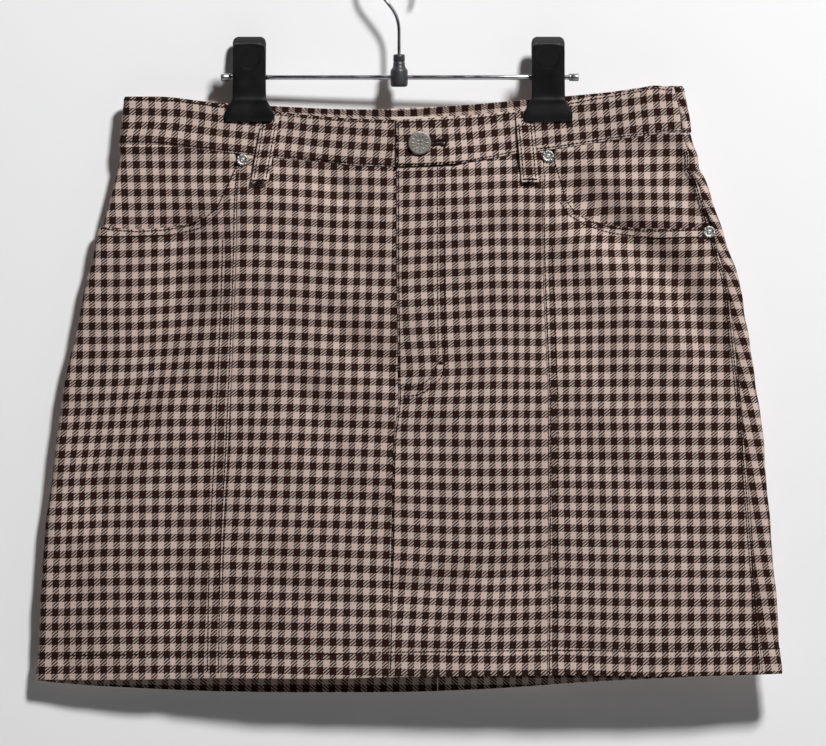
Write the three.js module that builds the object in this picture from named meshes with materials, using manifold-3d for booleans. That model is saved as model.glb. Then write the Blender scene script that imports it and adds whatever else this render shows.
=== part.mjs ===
// A checked mini skirt held at its waist by the two clips of a rod hanger.
// Millimetres, +Z up. The front faces -Y and +X is to the right of someone who looks at it.
// The origin is the seat of the hook: the top of the inside of its bend, where a rail carries it.

import * as THREE from 'three';
import { mergeVertices } from 'three/addons/utils/BufferGeometryUtils.js';
import Module from 'manifold-3d';

const manifold = await Module();
manifold.setup();

// Cloth
const CLOTH = 1.4;
const BAND_CLOTH = 2.4;
const BAND_PROUD = 0.6;
const HEM_CLOTH = 2.4;
const HEM_DEPTH = 20;
const SEAM_GAP = 0.3;
const LAYER_GAP = 0.6;
const POCKET_GAP = 1.2;
const FOLD_RADIUS = 4.8;
const FOLD_BLEND = 45;
const SIDE_ROUNDING = 2.4;
const POCKET_TUCK = 10;
const HIP = -205.5;
const BACK_BAND_HEIGHT = 34;

// Waistband overlap and fly
const LAP_RAISE = 2.7;
const LAP_FULL_TO = 36;
const LAP_GONE_AT = 52;
const UNDERLAP_END = 33;
const FLAP_RAISE = 0.9;
const FLAP_FULL_TO = 34;
const FLAP_GONE_AT = 42;
const FLY_BOTTOM = -318;

// Hanger
const ROD_HEIGHT = -96.7;
const ROD_RADIUS = 1.85;
const ROD_LEFT = -127;
const ROD_RIGHT = 128;
const CAP_RADIUS = 2.9;
const CAP_LENGTH = 7;
const CAP_BORE_DEPTH = 4.7;
const RUNNING_GAP = 0.3;
const WIRE_RADIUS = 1.4;
const HOOK_RADIUS = 21;
const HOOK_CENTRE_HEIGHT = -19.6;
const HOOK_BEND_HEIGHT = -53;
const HOOK_FOOT = -88;
const HOOK_END_ANGLE = -25;
const CLIP_LEFT = -108.6;
const CLIP_RIGHT = 108.1;
const JAW_HALF_WIDTH = 17.6;
const JAW_BOTTOM = -129.1;
const CLAMP_DEPTH = 2;
const CLAMP_HALF_WIDTH = 21;
const OPENS_FROM = -131;
const OPEN_AT = -195;
const CLAMP_SPREAD = 75;

// Trimmings
const LOOP_WIDTH = 12.5;
const LOOP_CLOTH = 1.5;
const LOOP_BOW = 2.2;
const BUTTON_RADIUS = 8.5;
const RIVET_RADIUS = 4.5;

// Outer edges of the flattened skirt, from the waist down to the hem.
const OUTLINE = [
  { z: -100, left: -197.8, right: 205 },
  { z: -114.6, left: -199.2, right: 208 },
  { z: -127, left: -200.8, right: 210.6 },
  { z: -136.5, left: -201.4, right: 211.6 },
  { z: -146.5, left: -203, right: 214 },
  { z: -154, left: -204.4, right: 216.7 },
  { z: -162.5, left: -206.2, right: 216.9 },
  { z: -167.5, left: -207.4, right: 220 },
  { z: -175, left: -209.6, right: 223.5 },
  { z: -185.7, left: -212.2, right: 226.9 },
  { z: -203, left: -216.6, right: 233.5 },
  { z: -226.5, left: -222.2, right: 240.2 },
  { z: -241.5, left: -226.4, right: 245.7 },
  { z: -269, left: -231.8, right: 250.8 },
  { z: -307.5, left: -240.4, right: 257.1 },
  { z: -335.7, left: -245.6, right: 261.1 },
  { z: -374, left: -250, right: 265.1 },
  { z: -421, left: -255.8, right: 269.1 },
  { z: -476.5, left: -260.4, right: 273.5 },
  { z: -535, left: -263, right: 277.8 },
];

// How far the middle of the front and of the back stand from the flat plane between them.
const BELLY = [
  { z: -100, front: 12.5, back: 5 },
  { z: -150, front: 14, back: 8 },
  { z: -206, front: 15, back: 12 },
  { z: -300, front: 16, back: 14 },
  { z: -420, front: 16, back: 14.5 },
  { z: -550, front: 17, back: 15 },
];

// Upper edge of the waistband, and the seam under it, across the front and the back.
const FRONT_WAIST = [
  { x: -215, top: -110.8, seam: -144.9 },
  { x: -175, top: -110.8, seam: -145.4 },
  { x: -144, top: -113.9, seam: -149 },
  { x: -122, top: -117, seam: -151.4 },
  { x: -90, top: -121.6, seam: -155 },
  { x: -60, top: -124.6, seam: -157.6 },
  { x: -28, top: -127.1, seam: -161 },
  { x: 0, top: -127.7, seam: -161.7 },
  { x: 38, top: -125.2, seam: -160.2 },
  { x: 60, top: -123.7, seam: -157 },
  { x: 85, top: -120.4, seam: -152 },
  { x: 113, top: -115.8, seam: -148.7 },
  { x: 141, top: -110.6, seam: -144.3 },
  { x: 167, top: -106.3, seam: -140.5 },
  { x: 186, top: -102.8, seam: -138 },
  { x: 196, top: -104, seam: -137 },
  { x: 220, top: -103, seam: -137 },
];
const BACK_WAIST = [
  { x: -215, top: -110.8 },
  { x: -150, top: -113.6 },
  { x: -92, top: -117.4 },
  { x: -28, top: -119.8 },
  { x: 38, top: -117.2 },
  { x: 95, top: -112.6 },
  { x: 150, top: -107.6 },
  { x: 190, top: -102.8 },
  { x: 220, top: -103 },
];
const HEM = [
  { x: -270, front: -533.3, back: -533.3 },
  { x: -235, front: -533.6, back: -537 },
  { x: -178, front: -533, back: -540.4 },
  { x: -129, front: -532.1, back: -542.3 },
  { x: -57, front: -532.6, back: -543.2 },
  { x: -8, front: -531.4, back: -543 },
  { x: 60, front: -530.5, back: -540.8 },
  { x: 131, front: -530, back: -536 },
  { x: 185, front: -530.8, back: -533 },
  { x: 226, front: -530.5, back: -531 },
  { x: 285, front: -528.8, back: -528.8 },
];

// Lengthwise seams: where each lies across the skirt at each height.
const SEAMS = [
  { z: -100, left: -115, centre: -2.2, right: 105, back: 20, sideInset: 6.6 },
  { z: -150, left: -115.2, centre: -2, right: 104.8, back: 21, sideInset: 6 },
  { z: -186, left: -117.5, centre: -1.9, right: 103.6, back: 21.5, sideInset: 7 },
  { z: -234, left: -118.5, centre: -1.8, right: 104.2, back: 22, sideInset: 8.6 },
  { z: -306, left: -121.1, centre: -0.7, right: 107, back: 23, sideInset: 12 },
  { z: -330, left: -122.2, centre: -0.6, right: 108, back: 23.4, sideInset: 13 },
  { z: -360, left: -123.5, centre: -4, right: 108.2, back: 24, sideInset: 14 },
  { z: -447, left: -127.8, centre: -5.9, right: 107.9, back: 26, sideInset: 14 },
  { z: -550, left: -129.3, centre: -8.2, right: 107.1, back: 28, sideInset: 14.5 },
];

// Curved edges of the two pocket openings, from the panel seam out to the side.
const LEFT_POCKET = [
  { x: -240, z: HIP },
  { x: -212, z: HIP },
  { x: -190, z: -207 },
  { x: -172.6, z: -206 },
  { x: -154.6, z: -203.4 },
  { x: -139.6, z: -196.8 },
  { x: -130.6, z: -187.8 },
  { x: -122.7, z: -171.2 },
  { x: -118.2, z: -161 },
  { x: -115, z: -153 },
];
const RIGHT_POCKET = [
  { x: 105, z: -150 },
  { x: 112, z: -152 },
  { x: 113.5, z: -159 },
  { x: 116.5, z: -169 },
  { x: 121, z: -185 },
  { x: 127.5, z: -193.6 },
  { x: 138.7, z: -200.2 },
  { x: 154.7, z: -204.1 },
  { x: 178.7, z: -206.7 },
  { x: 200, z: -206.5 },
  { x: 222, z: HIP },
  { x: 240, z: HIP },
];

// The largest soft folds, each along a path of [x, z] places. A positive depth is a trough and a
// negative one a ridge.
const FOLDS = [
  {
    side: 'front',
    path: [[129, -184], [154, -206], [182, -226], [204, -247], [218, -271], [233, -296]],
    width: 20,
    depth: 6.2,
  },
  {
    side: 'front',
    path: [[-156, -216], [-158, -262], [-166, -280], [-177, -300], [-196, -335], [-214, -370], [-232, -398]],
    width: 22,
    depth: 5.6,
  },
  { side: 'front', path: [[142, -160], [172, -173], [206, -192]], width: 11, depth: -1.6 },
  { side: 'front', path: [[-160, -454], [-160, -526]], width: 12, depth: 2.2 },
  { side: 'front', path: [[0, -470], [95, -461]], width: 14, depth: 1.4 },
  { side: 'front', path: [[-50, -170], [-33, -188], [-30, -240]], width: 11, depth: 1.3 },
  { side: 'front', path: [[259, -450], [261, -505]], width: 9, depth: 1.2 },
  { side: 'back', path: [[-150, -182], [-172, -206], [-196, -236], [-212, -270]], width: 20, depth: 3.4 },
  { side: 'back', path: [[130, -190], [164, -216], [196, -250], [214, -290]], width: 20, depth: 3.6 },
  { side: 'back', path: [[-70, -300], [-96, -420]], width: 20, depth: 1.8 },
  { side: 'back', path: [[110, -400], [122, -520]], width: 18, depth: 2 },
];

const BELT_LOOPS = [
  { name: 'belt_loop_front_left', side: 'front', topX: -92.4, footX: -101, top: -122.8, foot: -174 },
  { name: 'belt_loop_front_right', side: 'front', topX: 90.4, footX: 94.8, top: -122, foot: -173 },
  { name: 'belt_loop_back_left', side: 'back', topX: -140, footX: -142, top: -115, foot: -165 },
  { name: 'belt_loop_back_centre', side: 'back', topX: 20.4, footX: 21.2, top: -119, foot: -168 },
  { name: 'belt_loop_back_right', side: 'back', topX: 147, footX: 149, top: -109, foot: -159 },
];

const RIVETS = [
  { name: 'rivet_left_inner', x: -113.5, z: -157 },
  { name: 'rivet_right_inner', x: 107.9, z: -154.2 },
  { name: 'rivet_right_outer', x: 224.7, z: -208.9 },
  { name: 'rivet_left_outer', fromLeftFold: -7.6, z: -209 },
];

// Clip arms from the finger end down to the jaw. The inner and outer faces are distances
// from the plane of the rod.
const FRONT_ARM = [
  { z: -72.4, half: 8.4, inner: 13.6, outer: 15.8 },
  { z: -74, half: 10.9, inner: 12.9, outer: 16 },
  { z: -77, half: 11.8, inner: 11.6, outer: 15 },
  { z: -92, half: 11.9, inner: 5, outer: 8.4 },
  { z: -99, half: 12, inner: 3.6, outer: 6.9 },
  { z: -111.7, half: 12.2, inner: 3.2, outer: 6.2 },
  { z: -118, half: 15.4, inner: 2.9, outer: 6.1 },
  { z: -123.5, half: JAW_HALF_WIDTH, inner: 2.9, outer: 5.9 },
  { z: -127, half: JAW_HALF_WIDTH, inner: 2.9, outer: 5.3 },
  { z: JAW_BOTTOM, half: 16.2, inner: 2.9, outer: 4.4 },
];
const BACK_ARM = [
  { z: -67, half: 8.6, inner: 7.6, outer: 9.8 },
  { z: -68.6, half: 11.2, inner: 7.2, outer: 10.2 },
  { z: -72, half: 12.1, inner: 6.6, outer: 9.9 },
  { z: -90, half: 12, inner: 3.8, outer: 7.1 },
  { z: -99, half: 12, inner: 3.5, outer: 6.6 },
  { z: -111.7, half: 12.2, inner: 3.2, outer: 6.2 },
  { z: -118, half: 15.4, inner: 2.9, outer: 6.1 },
  { z: -123.5, half: JAW_HALF_WIDTH, inner: 2.9, outer: 5.9 },
  { z: -127, half: JAW_HALF_WIDTH, inner: 2.9, outer: 5.3 },
  { z: JAW_BOTTOM, half: 16.2, inner: 2.9, outer: 4.4 },
];

const skirtColour = { color: 0x7d6b65, roughness: 0.9, metalness: 0 };
const labelColour = { color: 0xd9cdbb, roughness: 0.85, metalness: 0 };
const zipColour = { color: 0x8a8378, roughness: 0.45, metalness: 0.9 };
const silverColour = { color: 0x9b968f, roughness: 0.38, metalness: 1 };
const steelColour = { color: 0xb9bcc0, roughness: 0.22, metalness: 1 };
const blackPlastic = { color: 0x0c0c0e, roughness: 0.45, metalness: 0 };
const greyPlastic = { color: 0x2b2c2f, roughness: 0.5, metalness: 0 };

const skirt = new THREE.Group();

// Adds one named piece to the group.
function add(name, geometry, finish) {
  const mesh = new THREE.Mesh(geometry, new THREE.MeshStandardMaterial(finish));
  mesh.name = name;
  skirt.add(mesh);
  return mesh;
}

function mix(from, to, share) {
  return from + (to - from) * share;
}

function ease(from, to, value) {
  const share = THREE.MathUtils.clamp((value - from) / (to - from), 0, 1);
  return share * share * (3 - 2 * share);
}

// Reads one column of a table at a value between its rows, along a curve without overshoot.
function read(table, key, column, value) {
  const forward = table[0][key] < table[table.length - 1][key];
  const rows = forward ? table : [...table].reverse();
  const clamped = THREE.MathUtils.clamp(value, rows[0][key], rows[rows.length - 1][key]);
  let i = 0;
  while (i < rows.length - 2 && rows[i + 1][key] < clamped) i += 1;
  const slopeOf = (k) => (rows[k + 1][column] - rows[k][column]) / (rows[k + 1][key] - rows[k][key]);
  const tangentAt = (k) => {
    if (k === 0) return slopeOf(0);
    if (k === rows.length - 1) return slopeOf(k - 1);
    const before = slopeOf(k - 1);
    const after = slopeOf(k);
    return before * after <= 0 ? 0 : (2 * before * after) / (before + after);
  };
  const span = rows[i + 1][key] - rows[i][key];
  const t = (clamped - rows[i][key]) / span;
  const startShare = 2 * t ** 3 - 3 * t ** 2 + 1;
  const startPull = (t ** 3 - 2 * t ** 2 + t) * span * tangentAt(i);
  const endPull = (t ** 3 - t ** 2) * span * tangentAt(i + 1);
  return startShare * rows[i][column] + (1 - startShare) * rows[i + 1][column] + startPull + endPull;
}

// Turns a geometry into one closed body: shared vertices, no empty triangles, faces out.
function closeBody(geometry) {
  const bare = new THREE.BufferGeometry();
  bare.setAttribute('position', geometry.getAttribute('position').clone());
  if (geometry.index) bare.setIndex(geometry.index.clone());
  const merged = mergeVertices(bare, 1e-3);
  const position = merged.getAttribute('position');
  const triangles = [];
  let volume = 0;
  const a = new THREE.Vector3();
  const b = new THREE.Vector3();
  const c = new THREE.Vector3();
  for (let i = 0; i < merged.index.count; i += 3) {
    const corners = [0, 1, 2].map((k) => merged.index.getX(i + k));
    if (new Set(corners).size < 3) continue;
    a.fromBufferAttribute(position, corners[0]);
    b.fromBufferAttribute(position, corners[1]);
    c.fromBufferAttribute(position, corners[2]);
    volume += a.dot(b.cross(c)) / 6;
    triangles.push(corners);
  }
  merged.setIndex(triangles.flatMap(([p, q, r]) => (volume > 0 ? [p, q, r] : [p, r, q])));
  merged.computeVertexNormals();
  return merged;
}

function toSolid(geometry) {
  const closed = closeBody(geometry);
  return new manifold.Manifold(new manifold.Mesh({
    numProp: 3,
    vertProperties: new Float32Array(closed.getAttribute('position').array),
    triVerts: new Uint32Array(closed.index.array),
  }));
}

function fromSolid(solid) {
  const mesh = solid.getMesh();
  const geometry = new THREE.BufferGeometry();
  geometry.setAttribute('position', new THREE.BufferAttribute(mesh.vertProperties, 3));
  geometry.setIndex(new THREE.BufferAttribute(mesh.triVerts, 1));
  return closeBody(geometry);
}

// Places along the skirt's girth are lengths of cloth from the left fold: the front runs from
// there to the right fold and the back from the right fold on. Less than nothing is the back
// beside the left fold.
const FOLD_ARC = FOLD_RADIUS * Math.PI / 2;

function leftEdge(z) {
  return read(OUTLINE, 'z', 'left', z);
}

function rightEdge(z) {
  return read(OUTLINE, 'z', 'right', z);
}

function halfGirth(z) {
  return rightEdge(z) - leftEdge(z) - 2 * FOLD_RADIUS + 2 * FOLD_ARC;
}

function frontGirth(x, z) {
  return x - leftEdge(z) - FOLD_RADIUS + FOLD_ARC;
}

function backGirth(x, z) {
  return 2 * halfGirth(z) - frontGirth(x, z);
}

function sideSeamGirth(z) {
  return halfGirth(z) - read(SEAMS, 'z', 'sideInset', z) + FOLD_RADIUS - FOLD_ARC;
}

function leftSideSeamGirth(z) {
  return -(halfGirth(z) - sideSeamGirth(z));
}

// How far the flat part of the front or back stands from the middle plane.
function standOff(x, z, side) {
  const belly = read(BELLY, 'z', side, z);
  const middle = (leftEdge(z) + rightEdge(z)) / 2;
  const share = Math.abs(x - middle) / ((rightEdge(z) - leftEdge(z)) / 2);
  const free = FOLD_RADIUS + (belly - FOLD_RADIUS) * (1 - Math.min(share, 1) ** SIDE_ROUNDING);
  const clipMiddle = (CLIP_LEFT + CLIP_RIGHT) / 2;
  const clipReach = (CLIP_RIGHT - CLIP_LEFT) / 2;
  const fromMiddle = Math.abs(x - clipMiddle);
  const swag = Math.cos(Math.min(fromMiddle / (clipReach - CLAMP_HALF_WIDTH), 1) * Math.PI / 2) ** 2;
  const outward = ease(clipReach + CLAMP_HALF_WIDTH, clipReach + CLAMP_SPREAD, fromMiddle);
  const clamped = CLAMP_DEPTH + (belly - CLAMP_DEPTH) * swag + (FOLD_RADIUS - CLAMP_DEPTH) * outward;
  return mix(clamped, free, ease(OPENS_FROM, OPEN_AT, z));
}

function distanceToPath(x, z, path) {
  let nearest = Infinity;
  for (let i = 0; i < path.length - 1; i += 1) {
    const [fromX, fromZ] = path[i];
    const runX = path[i + 1][0] - fromX;
    const runZ = path[i + 1][1] - fromZ;
    const along = ((x - fromX) * runX + (z - fromZ) * runZ) / (runX ** 2 + runZ ** 2);
    const share = THREE.MathUtils.clamp(along, 0, 1);
    nearest = Math.min(nearest, Math.hypot(x - fromX - share * runX, z - fromZ - share * runZ));
  }
  return nearest;
}

function foldDepth(x, z, side) {
  let depth = 0;
  for (const fold of FOLDS) {
    if (fold.side !== side) continue;
    depth += fold.depth * Math.exp(-((distanceToPath(x, z, fold.path) / fold.width) ** 2));
  }
  return depth;
}

// The outer face of the cloth.
function facePoint(girth, z) {
  const half = halfGirth(z);
  const wrapped = girth < 0 ? -girth : girth;
  const onBack = girth < 0 || girth > half;
  const place = wrapped > half ? 2 * half - wrapped : wrapped;
  const nearLeft = place < half / 2;
  const fromFold = nearLeft ? place : half - place;
  const angle = Math.min(fromFold, FOLD_ARC) / FOLD_RADIUS;
  const inset = FOLD_RADIUS * (1 - Math.cos(angle)) + Math.max(fromFold - FOLD_ARC, 0);
  const x = nearLeft ? leftEdge(z) + inset : rightEdge(z) - inset;
  const side = onBack ? 'back' : 'front';
  const flat = standOff(x, z, side) - FOLD_RADIUS - foldDepth(x, z, side);
  const depth = FOLD_RADIUS * Math.sin(angle) + flat * ease(0, FOLD_BLEND, inset);
  return new THREE.Vector3(x, onBack ? depth : -depth, z);
}

function faceNormal(girth, z) {
  const step = 0.25;
  const across = facePoint(girth + step, z).sub(facePoint(girth - step, z));
  const up = facePoint(girth, z + step).sub(facePoint(girth, z - step));
  return across.cross(up).normalize();
}

function raisedPoint(girth, z, raise) {
  return facePoint(girth, z).addScaledVector(faceNormal(girth, z), raise);
}

// A wall of cloth over a grid of places. Each place gives its girth, height, raise and thickness.
function clothWall(columns, rows, placeAt) {
  const outer = [];
  const inner = [];
  for (let j = 0; j <= rows; j += 1) {
    for (let i = 0; i <= columns; i += 1) {
      const { girth, z, raise, thickness } = placeAt(i, j);
      outer.push(raisedPoint(girth, z, raise));
      inner.push(raisedPoint(girth, z, raise - thickness));
    }
  }
  const points = [...outer, ...inner];
  const behind = outer.length;
  const at = (i, j) => j * (columns + 1) + i;
  const index = [];
  const quad = (p, q, r, s) => index.push(p, q, r, p, r, s);
  for (let j = 0; j < rows; j += 1) {
    for (let i = 0; i < columns; i += 1) {
      quad(at(i, j), at(i, j + 1), at(i + 1, j + 1), at(i + 1, j));
      quad(behind + at(i, j), behind + at(i + 1, j), behind + at(i + 1, j + 1), behind + at(i, j + 1));
    }
  }
  for (let i = 0; i < columns; i += 1) {
    quad(at(i, 0), at(i + 1, 0), behind + at(i + 1, 0), behind + at(i, 0));
    quad(at(i + 1, rows), at(i, rows), behind + at(i, rows), behind + at(i + 1, rows));
  }
  for (let j = 0; j < rows; j += 1) {
    quad(at(0, j + 1), at(0, j), behind + at(0, j), behind + at(0, j + 1));
    quad(at(columns, j), at(columns, j + 1), behind + at(columns, j + 1), behind + at(columns, j));
  }
  const geometry = new THREE.BufferGeometry();
  geometry.setAttribute('position', new THREE.Float32BufferAttribute(points.flatMap((p) => p.toArray()), 3));
  geometry.setIndex(index);
  return closeBody(geometry);
}

// Column lines across a piece: each span runs to its end line in a number of columns, and a bias
// above 1 crowds them at the span's start.
function columnLines(start, spans) {
  const lines = [start];
  let from = start;
  for (const span of spans) {
    const begin = from;
    for (let k = 1; k <= span.columns; k += 1) {
      const share = (k / span.columns) ** (span.bias ?? 1);
      lines.push((z) => mix(begin(z), span.to(z), share));
    }
    from = span.to;
  }
  return lines;
}

function xOf(girth, z) {
  return facePoint(girth, z).x;
}

function isBack(girth, z) {
  return girth < 0 || girth > halfGirth(z);
}

function waistTop(girth, z) {
  return isBack(girth, z)
    ? read(BACK_WAIST, 'x', 'top', xOf(girth, z))
    : read(FRONT_WAIST, 'x', 'top', xOf(girth, z));
}

function waistSeam(girth, z) {
  const fromFold = Math.min(Math.abs(girth), Math.abs(girth - halfGirth(z)));
  const front = read(FRONT_WAIST, 'x', 'seam', xOf(girth, z));
  if (!isBack(girth, z)) return front;
  return mix(front, read(BACK_WAIST, 'x', 'top', xOf(girth, z)) - BACK_BAND_HEIGHT, ease(0, 60, fromFold));
}

function hemEdge(girth, z) {
  return read(HEM, 'x', isBack(girth, z) ? 'back' : 'front', xOf(girth, z));
}

// Finds the height where a column line meets an edge that depends on its place.
function meetEdge(line, edge, guess) {
  let z = guess;
  for (let i = 0; i < 24; i += 1) z = mix(z, edge(line(z), z), 0.7);
  return z;
}

// A panel that ends in the turned-up hem. One that reaches the waistband has rows above the hip,
// and one that starts at a pocket opening has none, so that neighbours share their rows.
function hemmedPanel(lines, topEdge, topGuess, hipRows, raiseAt) {
  const hemTurn = 0.8;
  const hemGuess = -532;
  const bodyRows = hipRows + 15;
  return clothWall(lines.length - 1, bodyRows + 2, (i, j) => {
    const line = lines[i];
    const top = meetEdge(line, topEdge, topGuess);
    const hem = meetEdge(line, hemEdge, hemGuess);
    const bodyStart = hipRows > 0 ? HIP : top;
    const bodyEnd = hem + HEM_DEPTH + hemTurn;
    let z = mix(bodyStart, bodyEnd, Math.min((j - hipRows) / (bodyRows - hipRows), 1));
    if (j < hipRows) z = mix(top, bodyStart, j / hipRows);
    if (j === bodyRows + 1) z = hem + HEM_DEPTH;
    if (j === bodyRows + 2) z = hem;
    const thickness = j > bodyRows ? HEM_CLOTH : CLOTH;
    return { girth: line(z), z, raise: raiseAt(line(z), z), thickness };
  });
}

// A strip between an upper and a lower edge.
function strip(lines, topEdge, lowEdge, rows, thickness, raiseAt) {
  return clothWall(lines.length - 1, rows, (i, j) => {
    const line = lines[i];
    const top = meetEdge(line, topEdge, ROD_HEIGHT - 30);
    const low = meetEdge(line, lowEdge, ROD_HEIGHT - 60);
    const z = mix(top, low, j / rows);
    return { girth: line(z), z, raise: raiseAt(line(z), z), thickness };
  });
}

const flush = () => 0;
const halfGap = SEAM_GAP / 2;
const seamLine = (name, shift) => (z) => frontGirth(read(SEAMS, 'z', name, z), z) + shift;
const rightFoldStart = (z) => halfGirth(z) - FOLD_ARC;
const rightFoldEnd = (z) => halfGirth(z) + FOLD_ARC;
const belowBand = (girth, z) => waistSeam(girth, z) - SEAM_GAP;

function flapRaise(girth, z) {
  const across = 1 - ease(FLAP_FULL_TO, FLAP_GONE_AT, xOf(girth, z));
  return FLAP_RAISE * across * ease(FLY_BOTTOM - 14, FLY_BOTTOM, z);
}

function addPanels() {
  const leftSideStart = (z) => leftSideSeamGirth(z) + halfGap;
  const leftPocketEdge = (girth, z) => read(LEFT_POCKET, 'x', 'z', xOf(girth, z));
  const rightPocketEdge = (girth, z) => read(RIGHT_POCKET, 'x', 'z', xOf(girth, z));
  const hipRows = 4;

  const sideLeft = columnLines(seamLine('left', -halfGap), [
    { to: () => FOLD_ARC, columns: 10, bias: 1.5 },
    { to: () => -FOLD_ARC, columns: 4 },
    { to: leftSideStart, columns: 1 },
  ]).reverse();
  add('front_side_left', hemmedPanel(sideLeft, leftPocketEdge, -200, 0, flush), skirtColour);

  const centreLeft = columnLines(seamLine('left', halfGap), [
    { to: seamLine('centre', -halfGap), columns: 9 },
  ]);
  add('front_centre_left', hemmedPanel(centreLeft, belowBand, -158, hipRows, flush), skirtColour);

  const flapEdge = (z) => frontGirth(FLAP_FULL_TO, z);
  const flapGone = (z) => frontGirth(FLAP_GONE_AT, z);
  const centreRight = columnLines(seamLine('centre', halfGap), [
    { to: flapEdge, columns: 3 },
    { to: flapGone, columns: 2 },
    { to: seamLine('right', -halfGap), columns: 5 },
  ]);
  add('front_centre_right', hemmedPanel(centreRight, belowBand, -158, hipRows, flapRaise), skirtColour);

  const sideRight = columnLines(seamLine('right', halfGap), [
    { to: (z) => sideSeamGirth(z) - halfGap, columns: 12, bias: 1.4 },
  ]);
  add('front_side_right', hemmedPanel(sideRight, rightPocketEdge, -200, 0, flush), skirtColour);

  const backRight = columnLines((z) => sideSeamGirth(z) + halfGap, [
    { to: rightFoldStart, columns: 1 },
    { to: rightFoldEnd, columns: 4 },
    { to: (z) => backGirth(read(SEAMS, 'z', 'back', z), z) - halfGap, columns: 9 },
  ]);
  add('back_right', hemmedPanel(backRight, belowBand, -145, hipRows, flush), skirtColour);

  const backLeft = columnLines((z) => backGirth(read(SEAMS, 'z', 'back', z), z) + halfGap, [
    { to: (z) => 2 * halfGirth(z) + leftSideSeamGirth(z) - halfGap, columns: 11 },
  ]);
  add('back_left', hemmedPanel(backLeft, belowBand, -150, hipRows, flush), skirtColour);

  // The pocket facings lie one cloth behind the edges of the openings.
  const sunk = () => -(CLOTH + POCKET_GAP);
  const facingRows = 7;
  const facingLeft = columnLines(leftSideStart, [
    { to: () => -FOLD_ARC, columns: 1 },
    { to: () => FOLD_ARC, columns: 4 },
    { to: (z) => frontGirth(-118.5, z), columns: 9 },
  ]);
  const leftTuck = (girth, z) => leftPocketEdge(girth, z) - POCKET_TUCK;
  add('pocket_facing_left', strip(facingLeft, belowBand, leftTuck, facingRows, CLOTH, sunk), skirtColour);

  const facingRight = columnLines((z) => frontGirth(112.5, z), [
    { to: (z) => sideSeamGirth(z) - halfGap, columns: 12 },
  ]);
  const rightTuck = (girth, z) => rightPocketEdge(girth, z) - POCKET_TUCK;
  add('pocket_facing_right', strip(facingRight, belowBand, rightTuck, facingRows, CLOTH, sunk), skirtColour);
}

function addFly() {
  const zipRaise = () => -(CLOTH + LAYER_GAP);
  const zipCloth = 1.2;
  const zipLines = columnLines((z) => frontGirth(-12, z), [{ to: (z) => frontGirth(18, z), columns: 4 }]);
  const zipTop = () => -166;
  const zipFoot = () => FLY_BOTTOM;
  add('fly_zip', strip(zipLines, zipTop, zipFoot, 8, zipCloth, zipRaise), zipColour);

  const shieldRaise = () => zipRaise() - zipCloth - LAYER_GAP;
  const shieldLines = columnLines((z) => frontGirth(-14, z), [{ to: (z) => frontGirth(33, z), columns: 5 }]);
  const shieldTop = () => -165;
  const shieldFoot = () => FLY_BOTTOM - 6;
  add('fly_underlap', strip(shieldLines, shieldTop, shieldFoot, 8, CLOTH, shieldRaise), skirtColour);
}

function lapRaise(girth, z) {
  return BAND_PROUD + LAP_RAISE * (1 - ease(LAP_FULL_TO, LAP_GONE_AT, xOf(girth, z)));
}

function addWaistband() {
  const bandRows = 3;
  const proud = () => BAND_PROUD;
  const at = (x) => (z) => frontGirth(x, z);
  const clipZone = (clip, columns) => ({ to: at(clip + CLAMP_HALF_WIDTH), columns });

  const left = columnLines((z) => leftSideSeamGirth(z) + halfGap, [
    { to: () => -FOLD_ARC, columns: 1 },
    { to: () => FOLD_ARC, columns: 4 },
    { to: at(CLIP_LEFT - CLAMP_HALF_WIDTH), columns: 4 },
    clipZone(CLIP_LEFT, 3),
    { to: at(UNDERLAP_END), columns: 9 },
  ]);
  add('waistband_front_left', strip(left, waistTop, waistSeam, bandRows, BAND_CLOTH, proud), skirtColour);

  const right = columnLines(at(-2.2), [
    { to: at(LAP_FULL_TO), columns: 3 },
    { to: at(LAP_GONE_AT), columns: 4 },
    { to: at(CLIP_RIGHT - CLAMP_HALF_WIDTH), columns: 3 },
    clipZone(CLIP_RIGHT, 3),
    { to: (z) => sideSeamGirth(z) - halfGap, columns: 6 },
  ]);
  add('waistband_front_right', strip(right, waistTop, waistSeam, bandRows, BAND_CLOTH, lapRaise), skirtColour);

  const backAt = (x) => (z) => backGirth(x, z);
  const back = columnLines((z) => sideSeamGirth(z) + halfGap, [
    { to: rightFoldStart, columns: 1 },
    { to: rightFoldEnd, columns: 4 },
    { to: backAt(CLIP_RIGHT + CLAMP_HALF_WIDTH), columns: 5 },
    { to: backAt(CLIP_RIGHT - CLAMP_HALF_WIDTH), columns: 3 },
    { to: backAt(CLIP_LEFT + CLAMP_HALF_WIDTH), columns: 12 },
    { to: backAt(CLIP_LEFT - CLAMP_HALF_WIDTH), columns: 3 },
    { to: (z) => 2 * halfGirth(z) + leftSideSeamGirth(z) - halfGap, columns: 5 },
  ]);
  add('waistband_back', strip(back, waistTop, waistSeam, bandRows, BAND_CLOTH, proud), skirtColour);

  // The blank label on the inside of the back.
  const labelRaise = () => BAND_PROUD - BAND_CLOTH - LAYER_GAP;
  const labelLines = columnLines(backAt(38), [{ to: backAt(-6), columns: 5 }]);
  add('label', strip(labelLines, () => -125, () => -140, 2, 1, labelRaise), labelColour);
}

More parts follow.
